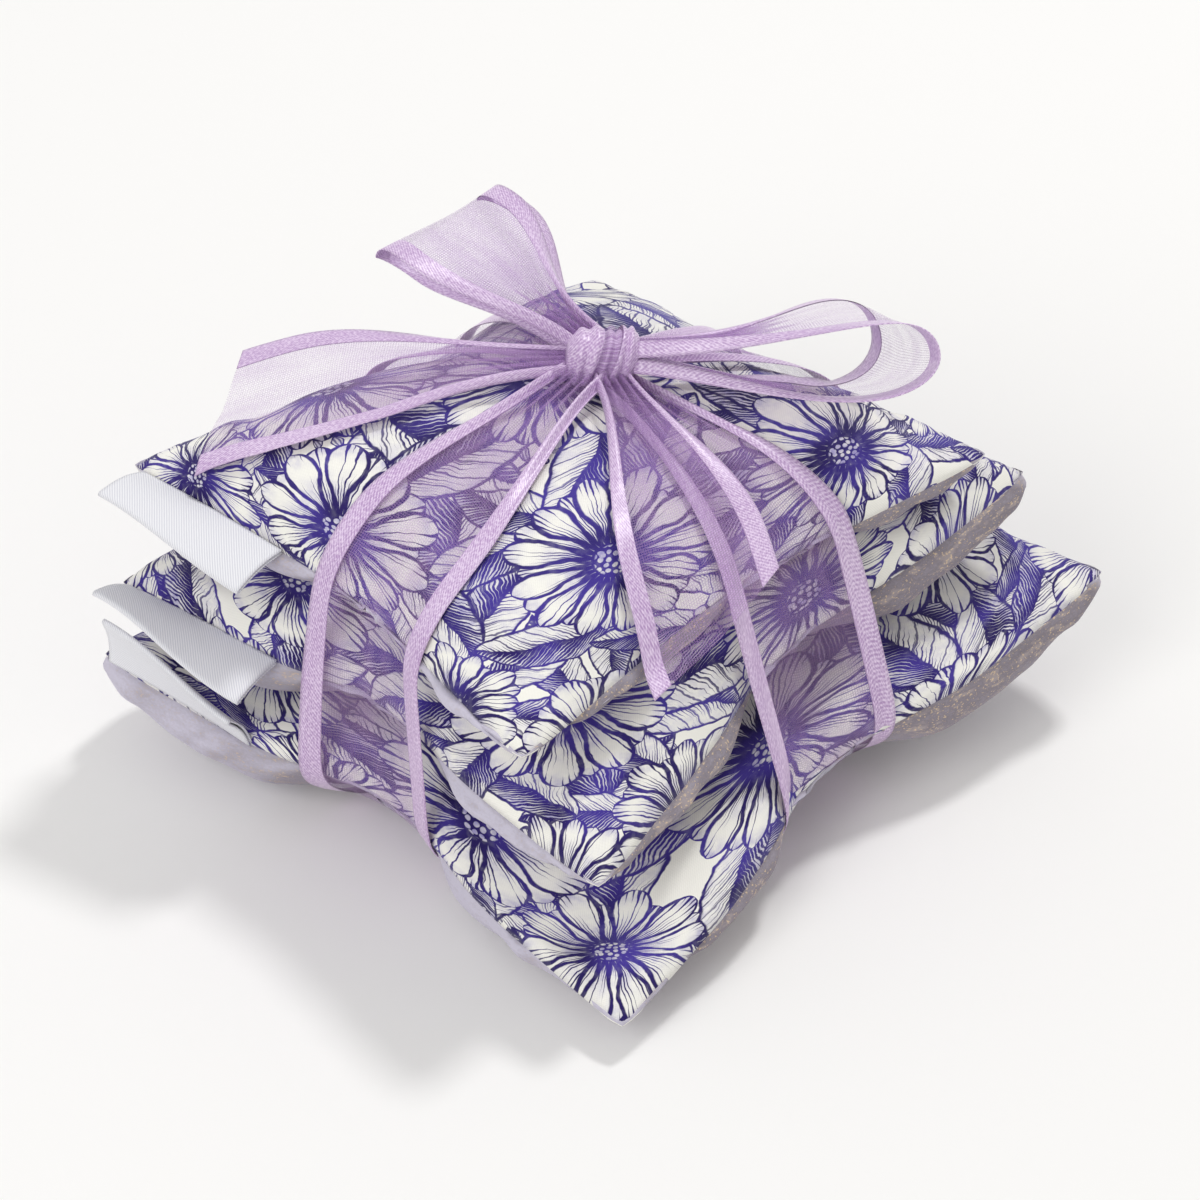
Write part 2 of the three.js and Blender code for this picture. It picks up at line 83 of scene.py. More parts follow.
class Wire:
    def __init__(self, finish, socket):
        self.finish, self.socket = finish, socket

    __add__, __radd__ = maths("ADD"), maths("ADD", True)
    __sub__, __rsub__ = maths("SUBTRACT"), maths("SUBTRACT", True)
    __mul__, __rmul__ = maths("MULTIPLY"), maths("MULTIPLY", True)
    __truediv__, __rtruediv__ = maths("DIVIDE"), maths("DIVIDE", True)
    __pow__, __abs__ = maths("POWER"), maths("ABSOLUTE")
    least, most = maths("MINIMUM"), maths("MAXIMUM")
    fold, floor, root = maths("FRACT"), maths("FLOOR"), maths("SQRT")

    def zigzag(self):  # 0 in the middle of each whole step, 1 at its ends
        return abs(self.fold() - 0.5) * 2


class Finish:
    def __init__(self, name, group="materials", shader="Principled BSDF", **fixed):
        self.owner = getattr(bpy.data, group).new(name)
        self.owner.use_nodes = True
        self.tree = self.owner.node_tree
        self.shader = self.tree.nodes[shader]
        for key, value in fixed.items():
            self.shader.inputs[key.replace("_", " ")].default_value = value

    def node(self, kind, settings=None, sockets=(), out=0):
        made = self.tree.nodes.new(kind)
        for key, value in (settings or {}).items():
            setattr(made, key, value)
        for key, value in sockets.items() if isinstance(sockets, dict) else enumerate(sockets):
            if isinstance(value, Wire):
                self.tree.links.new(value.socket, made.inputs[key])
            else:
                made.inputs[key].default_value = value
        if isinstance(out, tuple):
            return tuple(Wire(self, made.outputs[k]) for k in out)
        return Wire(self, made.outputs[out])

    def sum(self, operation, *terms):
        return self.node("ShaderNodeMath", dict(operation=operation), terms)

    def vector(self, operation, *terms):
        return self.node("ShaderNodeVectorMath", dict(operation=operation), terms)

    def split(self, vector):
        return self.node("ShaderNodeSeparateXYZ", None, [vector], out=(0, 1, 2))

    def cloth(self):  # the place on the flat cloth
        return self.node("ShaderNodeUVMap", dict(uv_map="cloth"))

    def body(self):  # the place in the piece's own frame
        return self.node("ShaderNodeTexCoord", None, (), 3)

    def painted(self, name, out):  # a value stored on the mesh: 1 gives a vector, 2 a number
        return self.node("ShaderNodeAttribute", dict(attribute_name=name), (), out)

    def ramp(self, value, low, high):  # a smooth step from 0 at low to 1 at high
        return self.node("ShaderNodeMapRange", dict(interpolation_type="SMOOTHSTEP"), [value, low, high])

    def dice(self, value):  # a fixed random number from 0 to 1 for each value
        return self.node("ShaderNodeTexWhiteNoise", dict(noise_dimensions="1D"), {"W": value})

    def noise(self, place, scale, detail=2.0, out=0):
        return self.node("ShaderNodeTexNoise", None, dict(Vector=place, Scale=scale, Detail=detail), out)

    def cells(self, place, scale, randomness=1.0, feature="F1"):
        settings = dict(feature=feature, voronoi_dimensions="2D" if feature == "F1" else "3D")
        sockets = dict(Vector=place, Scale=scale, Randomness=randomness)
        return self.node("ShaderNodeTexVoronoi", settings, sockets)

    def tint(self, share, *colours, blend="MIX"):  # from the first colour to the second
        first, second = (tone(colour) if isinstance(colour, str) else colour for colour in colours)
        settings = dict(data_type="RGBA", blend_type=blend)
        return self.node("ShaderNodeMix", settings, {0: share, 6: first, 7: second}, out=2)

    def bump(self, height, strength, depth):
        return self.node("ShaderNodeBump", None, dict(Height=height, Strength=strength, Distance=depth))

    def feed(self, **links):
        for key, value in links.items():
            self.tree.links.new(value.socket, self.shader.inputs[key.replace("_", " ")])
        return self.owner


def tone(code):  # a written colour as the linear values that a shader takes
    share = np.array([int(code[i : i + 2], 16) for i in (1, 3, 5)]) / 255
    linear = np.where(share <= 0.04045, share / 12.92, ((share + 0.055) / 1.055) ** 2.4)
    return (*linear.tolist(), 1.0)


# Mesh making
def gridFaces(net):  # quads of a net of point numbers
    return np.stack([net[:-1, :-1], net[1:, :-1], net[1:, 1:], net[:-1, 1:]], -1).reshape(-1, 4)


def addPiece(name, points, faces, material, uv=None):
    mesh = bpy.data.meshes.new(name)
    mesh.from_pydata((np.asarray(points) * mm).tolist(), [], faces.tolist())
    mesh.polygons.foreach_set("use_smooth", np.ones(len(faces), bool))
    if uv is not None:
        corners = faces.ravel()
        mesh.uv_layers.new(name="cloth").data.foreach_set("uv", uv[corners].ravel().astype(np.float32))
    mesh.materials.append(material)
    piece = bpy.data.objects.new(name, mesh)
    scene.collection.objects.link(piece)
    return piece


def paint(piece, name, values):  # a number for each point, which the shader reads
    layer = piece.data.attributes.new(name, "FLOAT", "POINT")
    layer.data.foreach_set("value", values.astype(np.float32))


def thicken(piece, wall):  # a sheet gets its real wall, half of it to each side
    made = piece.modifiers.new("wall", "SOLIDIFY")
    made.thickness, made.offset = wall * mm, 0


def settle(piece, body, slot, *nodes):
    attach(piece, body)
    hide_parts(*nodes)
    return piece


def mixed(a, b, share):
    return a + (b - a) * share


def eased(share):  # smooth from 0 to 1
    held = np.clip(share, 0, 1)
    return held * held * (3 - 2 * held)


def unit(vectors):
    return vectors / np.maximum(np.linalg.norm(vectors, axis=-1, keepdims=True), 1e-9)


def blurred(values, axis, times):  # each point drawn towards its two neighbours
    number = np.arange(values.shape[axis])
    before, after = np.maximum(number - 1, 0), np.minimum(number + 1, number[-1])
    for _ in range(times):
        values = (values.take(before, axis) + 2 * values + values.take(after, axis)) / 4
    return values


def runAlong(line):  # the length of a line up to each of its points
    return np.concatenate([[0], np.cumsum(np.linalg.norm(np.diff(line, axis=0), axis=1))])


def pointsAt(line, places):  # the points of a line at these lengths along it
    run = runAlong(line)
    return np.stack([np.interp(places, run, line[:, k]) for k in range(line.shape[1])], -1)


def listed(*nets):  # the rows of some nets, one after another
    return np.concatenate([net.reshape(-1, net.shape[-1]) for net in nets])


def shares(count):  # evenly from -1 to 1
    return np.linspace(-1, 1, count)


def flatGrid(a, b):  # all pairs of two rows of values
    return np.stack(np.meshgrid(a, b, indexing="ij"), -1).reshape(-1, 2)


def numbered(rows, columns):  # a net of point numbers
    return np.arange(rows * columns).reshape(rows, columns)


def doubled(net, axis):  # a net with a point added halfway between each pair, on a smooth curve
    p = np.moveaxis(net, axis, 0)
    before = np.concatenate([2 * p[:1] - p[1:2], p[:-2]])
    after = np.concatenate([p[2:], 2 * p[-1:] - p[-2:-1]])
    half = (9 * (p[:-1] + p[1:]) - before - after) / 16
    made = np.empty((2 * len(p) - 1, *p.shape[1:]))
    made[::2], made[1::2] = p, half
    return np.moveaxis(made, 0, axis)


# Printed cotton: pen-drawn daisies, leaves and lavender sprigs in violet ink on cream
printLook = dict(
    cream="#FCFAF1", wash="#7D72C4", inkDark="#24155C", inkMid="#463698",
    flowerRadius=(14, 18.5), spacing=36, shake=4.5, petals=(8, 10, 12), leavesEach=5,
    leafLength=(20, 30), looseLeaves=46, sprigs=28, sprigLength=(24, 34), threadPitch=0.38, rowStep=0.87,
    offset=9, leafFoot=0.55, leafShake=0.3, leafSwing=0.4, ringShare=0.7, sprigReach=62,
)
clothScale = 0.01  # one step of the cloth's map is 100 mm


def flowerInk(f, place):
    # polar shape: two rows of round-tipped petals, hatched from root and tip, round a stippled heart
    x, y, kind = f.split(place)
    petals, seed = kind.floor(), (kind.fold() * 20).floor() * 13.7
    away = (x * x + y * y).root()
    turn = f.sum("ARCTAN2", y, x) / (2 * math.pi)
    cover = ink = wash = None
    for shift, size in ((0.0, 0.9), (0.5, 0.98)):
        k = turn * petals + shift
        side = k.fold() - 0.5
        number = f.sum("FLOORED_MODULO", k.floor(), petals)
        throw = f.dice(number * 1.71 + seed + shift * 31)
        q = away / (throw * 0.14 + (size - 0.12))
        tip = (q - 0.6).most(0) / 0.4
        wide = (1 - tip * tip).most(0).root() * (q * 0.9 + 0.4).least(1) * 0.49
        gap = (wide - abs(side)) * away * (2 * math.pi) / petals
        inside = f.ramp(gap, 0.0, 0.012)
        line = 1 - f.ramp(gap, 0.042, 0.058)
        strokes = side * 10
        each = f.dice(strokes.floor() * 3.13 + number * 7.7 + seed)
        near = strokes.zigzag()
        fromRoot = 1.0 - q / (each * 0.6 + 0.42)
        fromTip = (q - 1.0 + each * 0.36) * 2.4
        shade = f.ramp(side, 0.12, 0.5) * (0.4 if shift else 0.7)
        hatch = 1 - f.ramp(near - fromRoot.most(fromTip) - shade, -0.14, 0.1)
        rowInk = line.most(hatch)
        rowWash = (1.0 - f.ramp(q, 0.15, 0.8)).most(f.ramp(q, 0.72, 1.05) * 0.8).most(shade)
        if cover is None:
            cover, ink, wash = inside, rowInk, rowWash
        else:
            cover = cover.most(inside)
            ink, wash = mixed(ink, rowInk, inside), mixed(wash, rowWash, inside)
    heart = 1 - f.ramp(away, 0.19, 0.2)
    spots = f.ramp(f.cells(place, 15.0, 0.6), 0.3, 0.42).most(f.ramp(away, 0.155, 0.175))
    return cover.most(heart), mixed(ink, spots, heart), wash


def leafBend(x, kind):  # how far the midrib bends aside
    return (kind - 0.5) * 0.9 * x * (1 - x)


def leafHalf(x):  # half the width of the blade
    return x ** 0.7 * (1 - x) ** 0.85 * 0.6


def leafInk(f, place):
    # pointed blade along x: bent midrib, slanting side veins, close hatching on the dark half
    x, y, kind = f.split(place)
    inner = x.most(0.001).least(0.999)
    off = y - leafBend(inner, kind)
    out = abs(off)
    wide = leafHalf(inner)
    gap = wide - out
    cover = f.ramp(gap, 0.0, 0.008)
    line = 1 - f.ramp(gap, 0.02, 0.031)
    rib = 1 - f.ramp(out, 0.008, 0.015)
    slant = inner * 8 - out * 9
    vein = 1 - f.ramp(abs(slant.fold() - 0.5), 0.04, 0.09)
    strokes = inner * 30 - out * 34
    each = f.dice(strokes.floor() * 1.37 + kind * 91)
    near = strokes.zigzag()
    dark = f.ramp(off, -0.02, 0.02)
    reach = out / wide.most(0.01)
    deep = mixed(0.35, 1.0, dark) - reach * (each * 0.9 + 0.35)
    rim = (reach - 1.0 + each * 0.28) * 2.0
    hatch = 1 - f.ramp(near - deep.most(rim), -0.06, 0.2)
    ink = line.most(rib).most(vein * 0.85).most(hatch)
    return cover, ink, (dark * 0.55 + 0.3).most(f.ramp(reach, 0.6, 1.0) * 0.8)


def sprigInk(f, place):
    # a thin stem with pairs of slanted buds on its outer two thirds
    x, y, kind = f.split(place)
    off = y - (kind - 0.5) * 0.5 * x * (1 - x)
    stem = (1 - f.ramp(abs(off), 0.007, 0.013)) * f.ramp(x, 0.0, 0.02) * (1 - f.ramp(x, 0.92, 0.96))
    cell = x * 10
    step = (cell.fold() - 0.5) / 10
    taper = 1.15 - x * 0.55
    side = (abs(off) - 0.046 * taper) / taper
    along, across = step * 0.8 - side * 0.6, step * 0.6 + side * 0.8
    oval = (along * along / 0.0007 + across * across / 0.0022).root()
    zone = f.ramp(x, 0.3, 0.31) * (1 - f.ramp(x, 0.99, 1.0))
    bud = (1 - f.ramp(oval, 0.95, 1.02)) * zone
    edge = f.ramp(oval, 0.66, 0.78)
    streak = 1 - f.ramp((along * 60).zigzag(), 0.35, 0.6)
    return stem.most(bud), stem.most(edge.most(streak * 0.8)) * bud.most(stem), bud * 0.8


def makePrint(look):
    f = Finish("printedCotton", Sheen_Weight=0.15, Sheen_Roughness=0.5, Specular_IOR_Level=0.25)
    cloth = f.cloth()
    shake = f.noise(cloth, 22.0, 3.0, out=1)
    wander = f.vector("MULTIPLY", f.vector("SUBTRACT", shake, (0.5, 0.5, 0.5)), (0.09, 0.09, 0))
    ink = wash = 0.0
    layers = [
        (sprigInk, "sprigA"), (sprigInk, "sprigB"), (leafInk, "leafC"), (leafInk, "leafB"),
        (leafInk, "leafA"), (flowerInk, "flowerB"), (flowerInk, "flowerA"),
    ]
    for draw, name in layers:
        cover, newInk, newWash = draw(f, f.vector("ADD", f.painted(name, 1), wander))
        ink, wash = mixed(ink, newInk, cover), mixed(wash, newWash, cover)
    blot = f.noise(cloth, 60.0, 3.0)
    density = f.ramp(f.noise(cloth, 9.0, 1.0), 0.35, 0.65)
    inkColour = f.tint(density, look["inkDark"], look["inkMid"])
    ground = f.tint(wash * f.ramp(blot, 0.2, 0.75) * 0.8, look["cream"], look["wash"])
    drawn = f.tint(ink * (0.82 + blot * 0.36).least(1), ground, inkColour)
    thread = 2 * math.pi / (clothScale * look["threadPitch"])
    u, v, _ = f.split(f.vector("MULTIPLY", cloth, (thread, thread, 0)))
    weave = f.sum("SINE", u) * f.sum("SINE", v)
    threads = f.tint(weave * 0.5 + 0.5, (0.9, 0.9, 0.91, 1), (1, 1, 1, 1))
    lit = f.tint(1.0, drawn, threads, blend="MULTIPLY")
    normal = f.bump(weave + blot * 0.8, 0.25, 0.00008)
    return f.feed(Base_Color=lit, Roughness=0.8 + blot * 0.15, Normal=normal)


# Grey-lavender velvet of the back panels: pale is its lit colour and shade its painted shade, laid on by
# which way each point faces
velvetLook = dict(pale="#CAC5D4", shade="#8A828A", crushed="#AEA2A2", spark="#E6CBA4", sheen="#DAD4EA",
                  sideShadeSlope=(0.15, -0.95))


def makeVelvet(look):
    f = Finish("greyVelvet", Sheen_Weight=0.2, Sheen_Roughness=0.4, Sheen_Tint=tone(look["sheen"]),
               Specular_IOR_Level=0.25)
    place = f.body()
    # painted shade: high on the side facing +X, where the lamps reach little, low on the lit side
    sideShade = f.painted("sideShade", 2)
    crush = f.noise(f.vector("MULTIPLY", place, (1, 1, 3)), 330.0, 4.0)
    pile = f.noise(f.vector("MULTIPLY", place, (1, 1, 1.8)), 2200.0, 2.0)
    # pale to shade by the painted side shade, broken up by the crush and pile of the cloth
    turned = (sideShade + (crush - 0.5) * 0.6 + (pile - 0.5) * 0.5).most(0).least(1)
    first = f.tint(turned, look["pale"], look["shade"])
    # warm crushed patches of the cloth, shown only where the painted side shade lies
    second = f.tint(f.ramp(crush, 0.5, 0.66) * sideShade * 0.8, first, look["crushed"])
    # painted glints: golden sparkle highlights in the pile, mostly where the painted side shade lies
    glint = f.ramp(pile + crush * 0.3, 0.74, 0.84) * (sideShade * 0.9 + 0.05)
    colour = f.tint(glint * 0.8, second, look["spark"])
    normal = f.bump(pile + crush * 0.5, 0.3, 0.0002)
    return f.feed(Base_Color=colour, Roughness=0.75 - glint * 0.4, Normal=normal)


# Sheer ribbon with a satin stripe along each edge; the satin carries a painted shine and painted fold shade
ribbonLook = dict(
    width=22, satin=0.142, thick=0.12, threadPitch=0.36, twills=56, sheer="#B990CC", sheerLight="#CDAEDA",
    stripe="#B08CBE", stripeHighlight="#E8D4EE", sheen="#F2E2F6",
)


def makeRibbon(look):
    f = Finish("organzaRibbon", Coat_Roughness=0.33, Sheen_Weight=0.2, Sheen_Tint=tone(look["sheen"]),
               Specular_IOR_Level=0.55)
    cloth = f.cloth()
    u, v, _ = f.split(cloth)
    inward = 0.5 - abs(u - 0.5)
    satin = 1 - f.ramp(inward, look["satin"] - 0.006, look["satin"] + 0.006)
    threads = look["width"] / look["threadPitch"]
    waver = f.noise(cloth, 5.0, 2.0) - 0.5
    gather = f.painted("gather", 2)
    # painted light and shade of folds the mesh does not have: soft streaks that lighten and darken the satin,
    # and thicken and thin the sheer
    foldShade = f.noise(f.vector("MULTIPLY", cloth, (2.4, 0.5, 1.0)), 3.0, 2.0)
    warp = (u * threads + waver * 0.7).zigzag()
    weft = (v * threads + waver * 1.4).zigzag()
    thread = (1 - f.ramp(warp, 0.2, 0.5)).most(1 - f.ramp(weft, 0.2, 0.5))
    slub = f.noise(cloth, 40.0, 3.0)
    twill = ((u - v * 0.6) * look["twills"]).zigzag()
    grain = f.noise(f.vector("MULTIPLY", cloth, (1.0, 0.45, 1.0)), 95.0, 2.0)
    woven = thread * 0.2 + slub * 0.06 + (grain - 0.5) * 0.25
    alpha = (woven + gather * 0.34 + (foldShade - 0.5) * 0.3).most(0).least(1)
    # the satin lightens along its twill and grain, a real weave tone pushed up into a painted shine, with the
    # painted fold streaks on top; its lighter colour is the painted highlight
    twillShine = f.ramp(twill, 0.2, 0.9) * 0.5 + f.ramp(grain, 0.42, 0.62) * 0.6
    paintedShine = (twillShine + (foldShade - 0.5) * 0.8).most(0).least(1)
    stripe = f.tint(paintedShine, look["stripe"], look["stripeHighlight"])
    sheer = f.tint(f.ramp(slub, 0.5, 0.75), look["sheer"], look["sheerLight"])
    normal = f.bump((twill + grain) * satin * 0.4 + thread * (1 - satin), 0.25, 0.0001)
    return f.feed(Base_Color=f.tint(satin, sheer, stripe), Roughness=0.42 - satin * 0.14 + slub * 0.1,
                  Coat_Weight=satin * 0.3, Alpha=mixed(alpha, 1, satin), Normal=normal)


# White woven tape of the labels, bare
tapeLook = dict(white="#F3F3F6", shade="#D9D9E0", twillPitch=0.45)


def makeTape(look):
    f = Finish("labelTape", Sheen_Weight=0.15, Specular_IOR_Level=0.35)
    u, v, _ = f.split(f.cloth())
    pitch = look["twillPitch"]
    slant = ((u + v) / pitch).zigzag()
    cross = ((u - v) / (pitch * 0.5)).zigzag()
    colour = f.tint(f.ramp(slant * 0.75 + cross * 0.25, 0.25, 0.8), look["shade"], look["white"])
    normal = f.bump(slant + cross * 0.4, 0.35, 0.00012)
    return f.feed(Base_Color=colour, Roughness=0.7 - slant * 0.15, Normal=normal)


# Sewing thread of the seams, and dried buds of the filling
threadLook = dict(dark="#B5AFC6", pale="#D9D5E4")
budLook = dict(dark="#5E5286", pale="#8C82A6")


def makeThread(look):
    f = Finish("seamThread", Roughness=0.8, Specular_IOR_Level=0.3)
    place = f.body()
    fuzz = f.noise(place, 1500.0, 2.0)
    colour = f.tint(f.ramp(fuzz, 0.3, 0.7), look["dark"], look["pale"])
    return f.feed(Base_Color=colour, Normal=f.bump(fuzz, 0.4, 0.0002))


def makeBuds(look):
    f = Finish("lavenderBuds", Specular_IOR_Level=0.2)
    place = f.body()
    grain = f.cells(place, 420.0, 1.0, "SMOOTH_F1")
    speck = f.noise(place, 900.0, 3.0)
    colour = f.tint(f.ramp(speck, 0.35, 0.65), look["dark"], look["pale"])
    return f.feed(Base_Color=colour, Roughness=0.75 + speck * 0.2, Normal=f.bump(1 - grain, 0.8, 0.001))


printedCotton, greyVelvet, organza = makePrint(printLook), makeVelvet(velvetLook), makeRibbon(ribbonLook)
labelTape, seamThread, lavenderBuds = makeTape(tapeLook), makeThread(threadLook), makeBuds(budLook)
print("finishes mixed")


# Sachets: lengths in mm, the pile as it lies
sachetCut = dict(
    side=102, drawIn=4.2, pinchReach=16, cornerRound=1.5, cornerOrder=12, fullness=8, sideBulge=6, rollRoom=9,
    softness=3, cinch=0.9, cinchReach=13, tiePress=0.14, pressReach=11, net=49, cloth=0.5, clear=0.2,
    underRibbon=1.6, tableGap=0.3, ribbonReach=12.5, slack=0.02, pressure=4.0, limit=3.0, steps=20,
    pucker=0.3, gathers=(5.3, 8.7, 14.0), skinFade=9, swellFade=14, puckerFade=16, wallFade=6, cornerWall=0.3,
    fill=0.65, budFill=0.8,
)
bandPlace = (4, -1.5)  # where the ribbon along Y and the ribbon along X go down the sides
# lift and thin go by corner: left, front, right, back
sachets = [
    dict(name="Bottom", spread=(0.955, 0.99), pinch=4.5, turn=3, shift=(4.3, -4), loft=16,
         lift=(4.5, -4.6, 11, 0), thin=(0, 0.7, 0.2, 0), seed=4),
    dict(name="Middle", spread=(0.845, 0.905), pinch=3, turn=5, shift=(1.2, -6.5), loft=18,
         lift=(2, -4, 9, -8), thin=(0.1, 0.52, 0.1, 0), seed=9),
    dict(name="Top", spread=(0.78, 0.85), pinch=1.2, turn=-2, shift=(-0.3, -7.8), loft=16,
         lift=(-0.5, -3, 0.5, -13), thin=(0.1, 0.4, 0.1, 0), seed=7),
]


def cornerFade(count, reach):  # 0 at the four corners of a sachet's net, 1 from reach mm away
    half = sachetCut["side"] / 2
    share = abs(shares(count)) * half
    a, b = np.meshgrid(share, share, indexing="ij")
    return eased(np.hypot(half - a, half - b) / reach)[..., None]


def skinNormals(net):  # the way a net faces, but straight up in the corners, where it runs together
    fade = cornerFade(net.shape[0], sachetCut["skinFade"])
    facing = unit(np.cross(np.gradient(net, axis=0), np.gradient(net, axis=1)))
    return unit(facing * fade + np.array([0, 0, 1.0]) * (1 - fade))


def edgeOf(count):  # true round the edge of a square net
    edge = np.zeros((count, count), bool)
    edge[[0, -1]] = edge[:, [0, -1]] = True
    return edge


def rimOf(count):  # point numbers once round the edge of a square net
    number = numbered(count, count)
    return np.concatenate([number[:-1, 0], number[-1, :-1], number[:0:-1, -1], number[0, :0:-1]])


def sewnBag(upper, lower, edge):  # an upper and a lower net that share their edge, with their point numbers
    net = numbered(*edge.shape)
    lowNet = np.where(edge, net, net.size + np.cumsum(~edge).reshape(net.shape) - 1)
    faces = listed(gridFaces(net), gridFaces(lowNet)[:, ::-1])
    return listed(upper, lower[~edge]), faces, (net, lowNet)


def softLower(a, b, soft):  # the lower of two heights, rounded where they meet
    share = np.clip(0.5 + 0.5 * (b - a) / soft, 0, 1)
    return mixed(b, a, share) - soft * share * (1 - share)


def cornerSlope(lift, u, v):  # a saddle through four corner heights, less its mean
    left, front, right, back = lift
    alongU, alongV = front + right - left - back, right + back - left - front
    twist = left + right - front - back
    return (alongU * u + alongV * v + twist * u * v) / 4


def contactSheet(below, above, height):  # the face where two neighbours press on each other
    reach = [sachetCut["side"] * (below["spread"][k] + above["spread"][k]) / 4 for k in (0, 1)]

    def at(x, y):
        u, v = np.clip(x / reach[0], -1.2, 1.2), np.clip(y / reach[1], -1.2, 1.2)
        return height + (cornerSlope(below["lift"], u, v) + cornerSlope(above["lift"], u, v)) / 2

    return at


def underBand(x, y, reach, order):  # 1 under the middle line of a tied ribbon, 0 away from it
    near = [np.exp(-abs((at - place) / reach) ** order) for at, place in zip((x, y), bandPlace)]
    return np.maximum(*near)


def tableSheet(x, y):  # the table, with the tied ribbon under the middle
    cut = sachetCut
    return mixed(cut["tableGap"], cut["underRibbon"], underBand(x, y, cut["ribbonReach"], 4))


def pillowNets(spec, middle, floorAt, ceilingAt):
    # height over the seam sheet is a crown sqrt((1-u^2)(1-v^2)), pressed flat by what lies above and below
    cut = sachetCut
    even = shares(cut["net"])
    a, b = np.meshgrid(even, even, indexing="ij")  # on the flat cloth
    # close together where the side turns down, even along the seam
    u = mixed(np.sin(a * np.pi / 2), a, b * b)
    v = mixed(np.sin(b * np.pi / 2), b, a * a)
    shiftX, shiftY = spec["shift"]
    half = [cut["side"] * share / 2 for share in spec["spread"]]
    least = min(half)
    crown = np.sqrt(np.maximum((1 - u * u) * (1 - v * v), 0))

    def inset(t):
        return (1 - t * t) * (cut["drawIn"] + spec["pinch"] * np.exp(-((t * least / cut["pinchReach"]) ** 2)))

    blunt = cut["cornerRound"] * (u * v) ** cut["cornerOrder"]
    c, s = math.cos(math.radians(spec["turn"])), math.sin(math.radians(spec["turn"]))
    levelX, levelY = u * (half[0] - inset(v) - blunt), v * (half[1] - inset(u) - blunt)
    levelX, levelY = c * levelX - s * levelY, s * levelX + c * levelY
    tied = underBand(levelX + shiftX, levelY + shiftY, cut["cinchReach"], 4)
    free = 1 - cut["cinch"] * (1 - crown) * tied
    nearCorner = [(1 + i * u) * (1 + j * v) / 4 for i, j in ((-1, -1), (1, -1), (1, 1), (-1, 1))]
    free = free * (1 - sum(thin * near ** 2 for thin, near in zip(spec["thin"], nearCorner)))
    mean = sum(spec["lift"]) / 4
    seam = middle + mean + cornerSlope(spec["lift"], u, v)
    room = np.clip((seam - floorAt(levelX + shiftX, levelY + shiftY)) / cut["rollRoom"], 0, 1)

    def plan(bulge):
        roll = 1 + 4 * bulge * room * free * crown * (1 - crown) / least
        return roll * levelX + shiftX, roll * levelY + shiftY

    rise, drop = spec["loft"] / 2 - mean, spec["loft"] / 2 + mean
    x, y = plan(0)
    if ceilingAt is None:
        top = rise * crown * (1 + cut["tiePress"] * (1 - underBand(x, y, cut["pressReach"], 2)))
    else:
        swell = (rise + cut["fullness"]) * crown
        top = np.maximum(softLower(swell, ceilingAt(x, y) - seam, cut["softness"]), 0)
    upper = np.stack([x, y, seam + top], -1)
    x, y = plan(cut["sideBulge"])
    swell = (drop + cut["fullness"]) * crown * free
    low = np.minimum(-softLower(swell, seam - floorAt(x, y), cut["softness"]), 0)
    lower = np.stack([x, y, seam + low], -1)
    edge = edgeOf(cut["net"])
    lower[edge] = upper[edge]
    return upper, lower, edge


def inflated(name, upper, lower, edge):
    # cloth with pressure: the seam is held, the panels have a little spare cloth and swell up
    cut = sachetCut
    points, faces, numbers = sewnBag(upper, lower, edge)
    piece = addPiece(name, points, faces, seamThread)
    held = piece.vertex_groups.new(name="seam")
    held.add(numbers[0][edge].tolist(), 1.0, "REPLACE")
    cloth = piece.modifiers.new("cloth", "CLOTH")
    rule = cloth.settings
    rule.quality, rule.mass = 5, 0.01
    rule.tension_stiffness = rule.compression_stiffness = 15
    rule.shear_stiffness, rule.bending_stiffness = 5, 0.05
    rule.use_pressure, rule.uniform_pressure_force = True, cut["pressure"]
    rule.shrink_min = -cut["slack"]
    rule.vertex_group_mass = "seam"
    rule.effector_weights.gravity = 0
    cloth.collision_settings.use_collision = False
    cloth.point_cache.frame_start, cloth.point_cache.frame_end = 1, cut["steps"]
    for step in range(1, cut["steps"] + 1):
        scene.frame_set(step)
    shown = piece.evaluated_get(bpy.context.evaluated_depsgraph_get())
    swollen = np.empty(points.size)
    shown.to_mesh().vertices.foreach_get("co", swollen)
    shown.to_mesh_clear()
    bpy.data.objects.remove(piece)
    scene.frame_set(1)
    move = swollen.reshape(-1, 3) / mm - points
    far = np.linalg.norm(move, axis=1, keepdims=True)
    move = move * np.minimum(1, cut["limit"] / np.maximum(far, 1e-9))
    fade = cornerFade(cut["net"], cut["swellFade"])  # the pointed corners keep their shape
    return [points[net] + blurred(blurred(move[net], 0, 2), 1, 2) * fade for net in numbers]


def puckered(net, seed, amount):
    # small gathers across the seam: waves along the edge that die away inwards
    half = sachetCut["side"] / 2
    share = shares(net.shape[0])
    a, b = np.meshgrid(share, share, indexing="ij")
    draw = np.random.RandomState(seed)
    total = 0
    for across, along in ((a, b), (b, a)):
        for end in (-1, 1):
            inner = (1 - end * across) * half
            for pitch in sachetCut["gathers"]:
                wave = np.sin(along * half * 2 * np.pi / pitch + draw.uniform(0, 6.3))
                total = total + wave * np.exp(-inner / (pitch * 0.7)) * inner / (inner + 2) * pitch / 9
    inner = (np.maximum(abs(a), abs(b)) < 1)[..., None] * cornerFade(net.shape[0], sachetCut["puckerFade"])
    return net + skinNormals(net) * total[..., None] * amount * inner


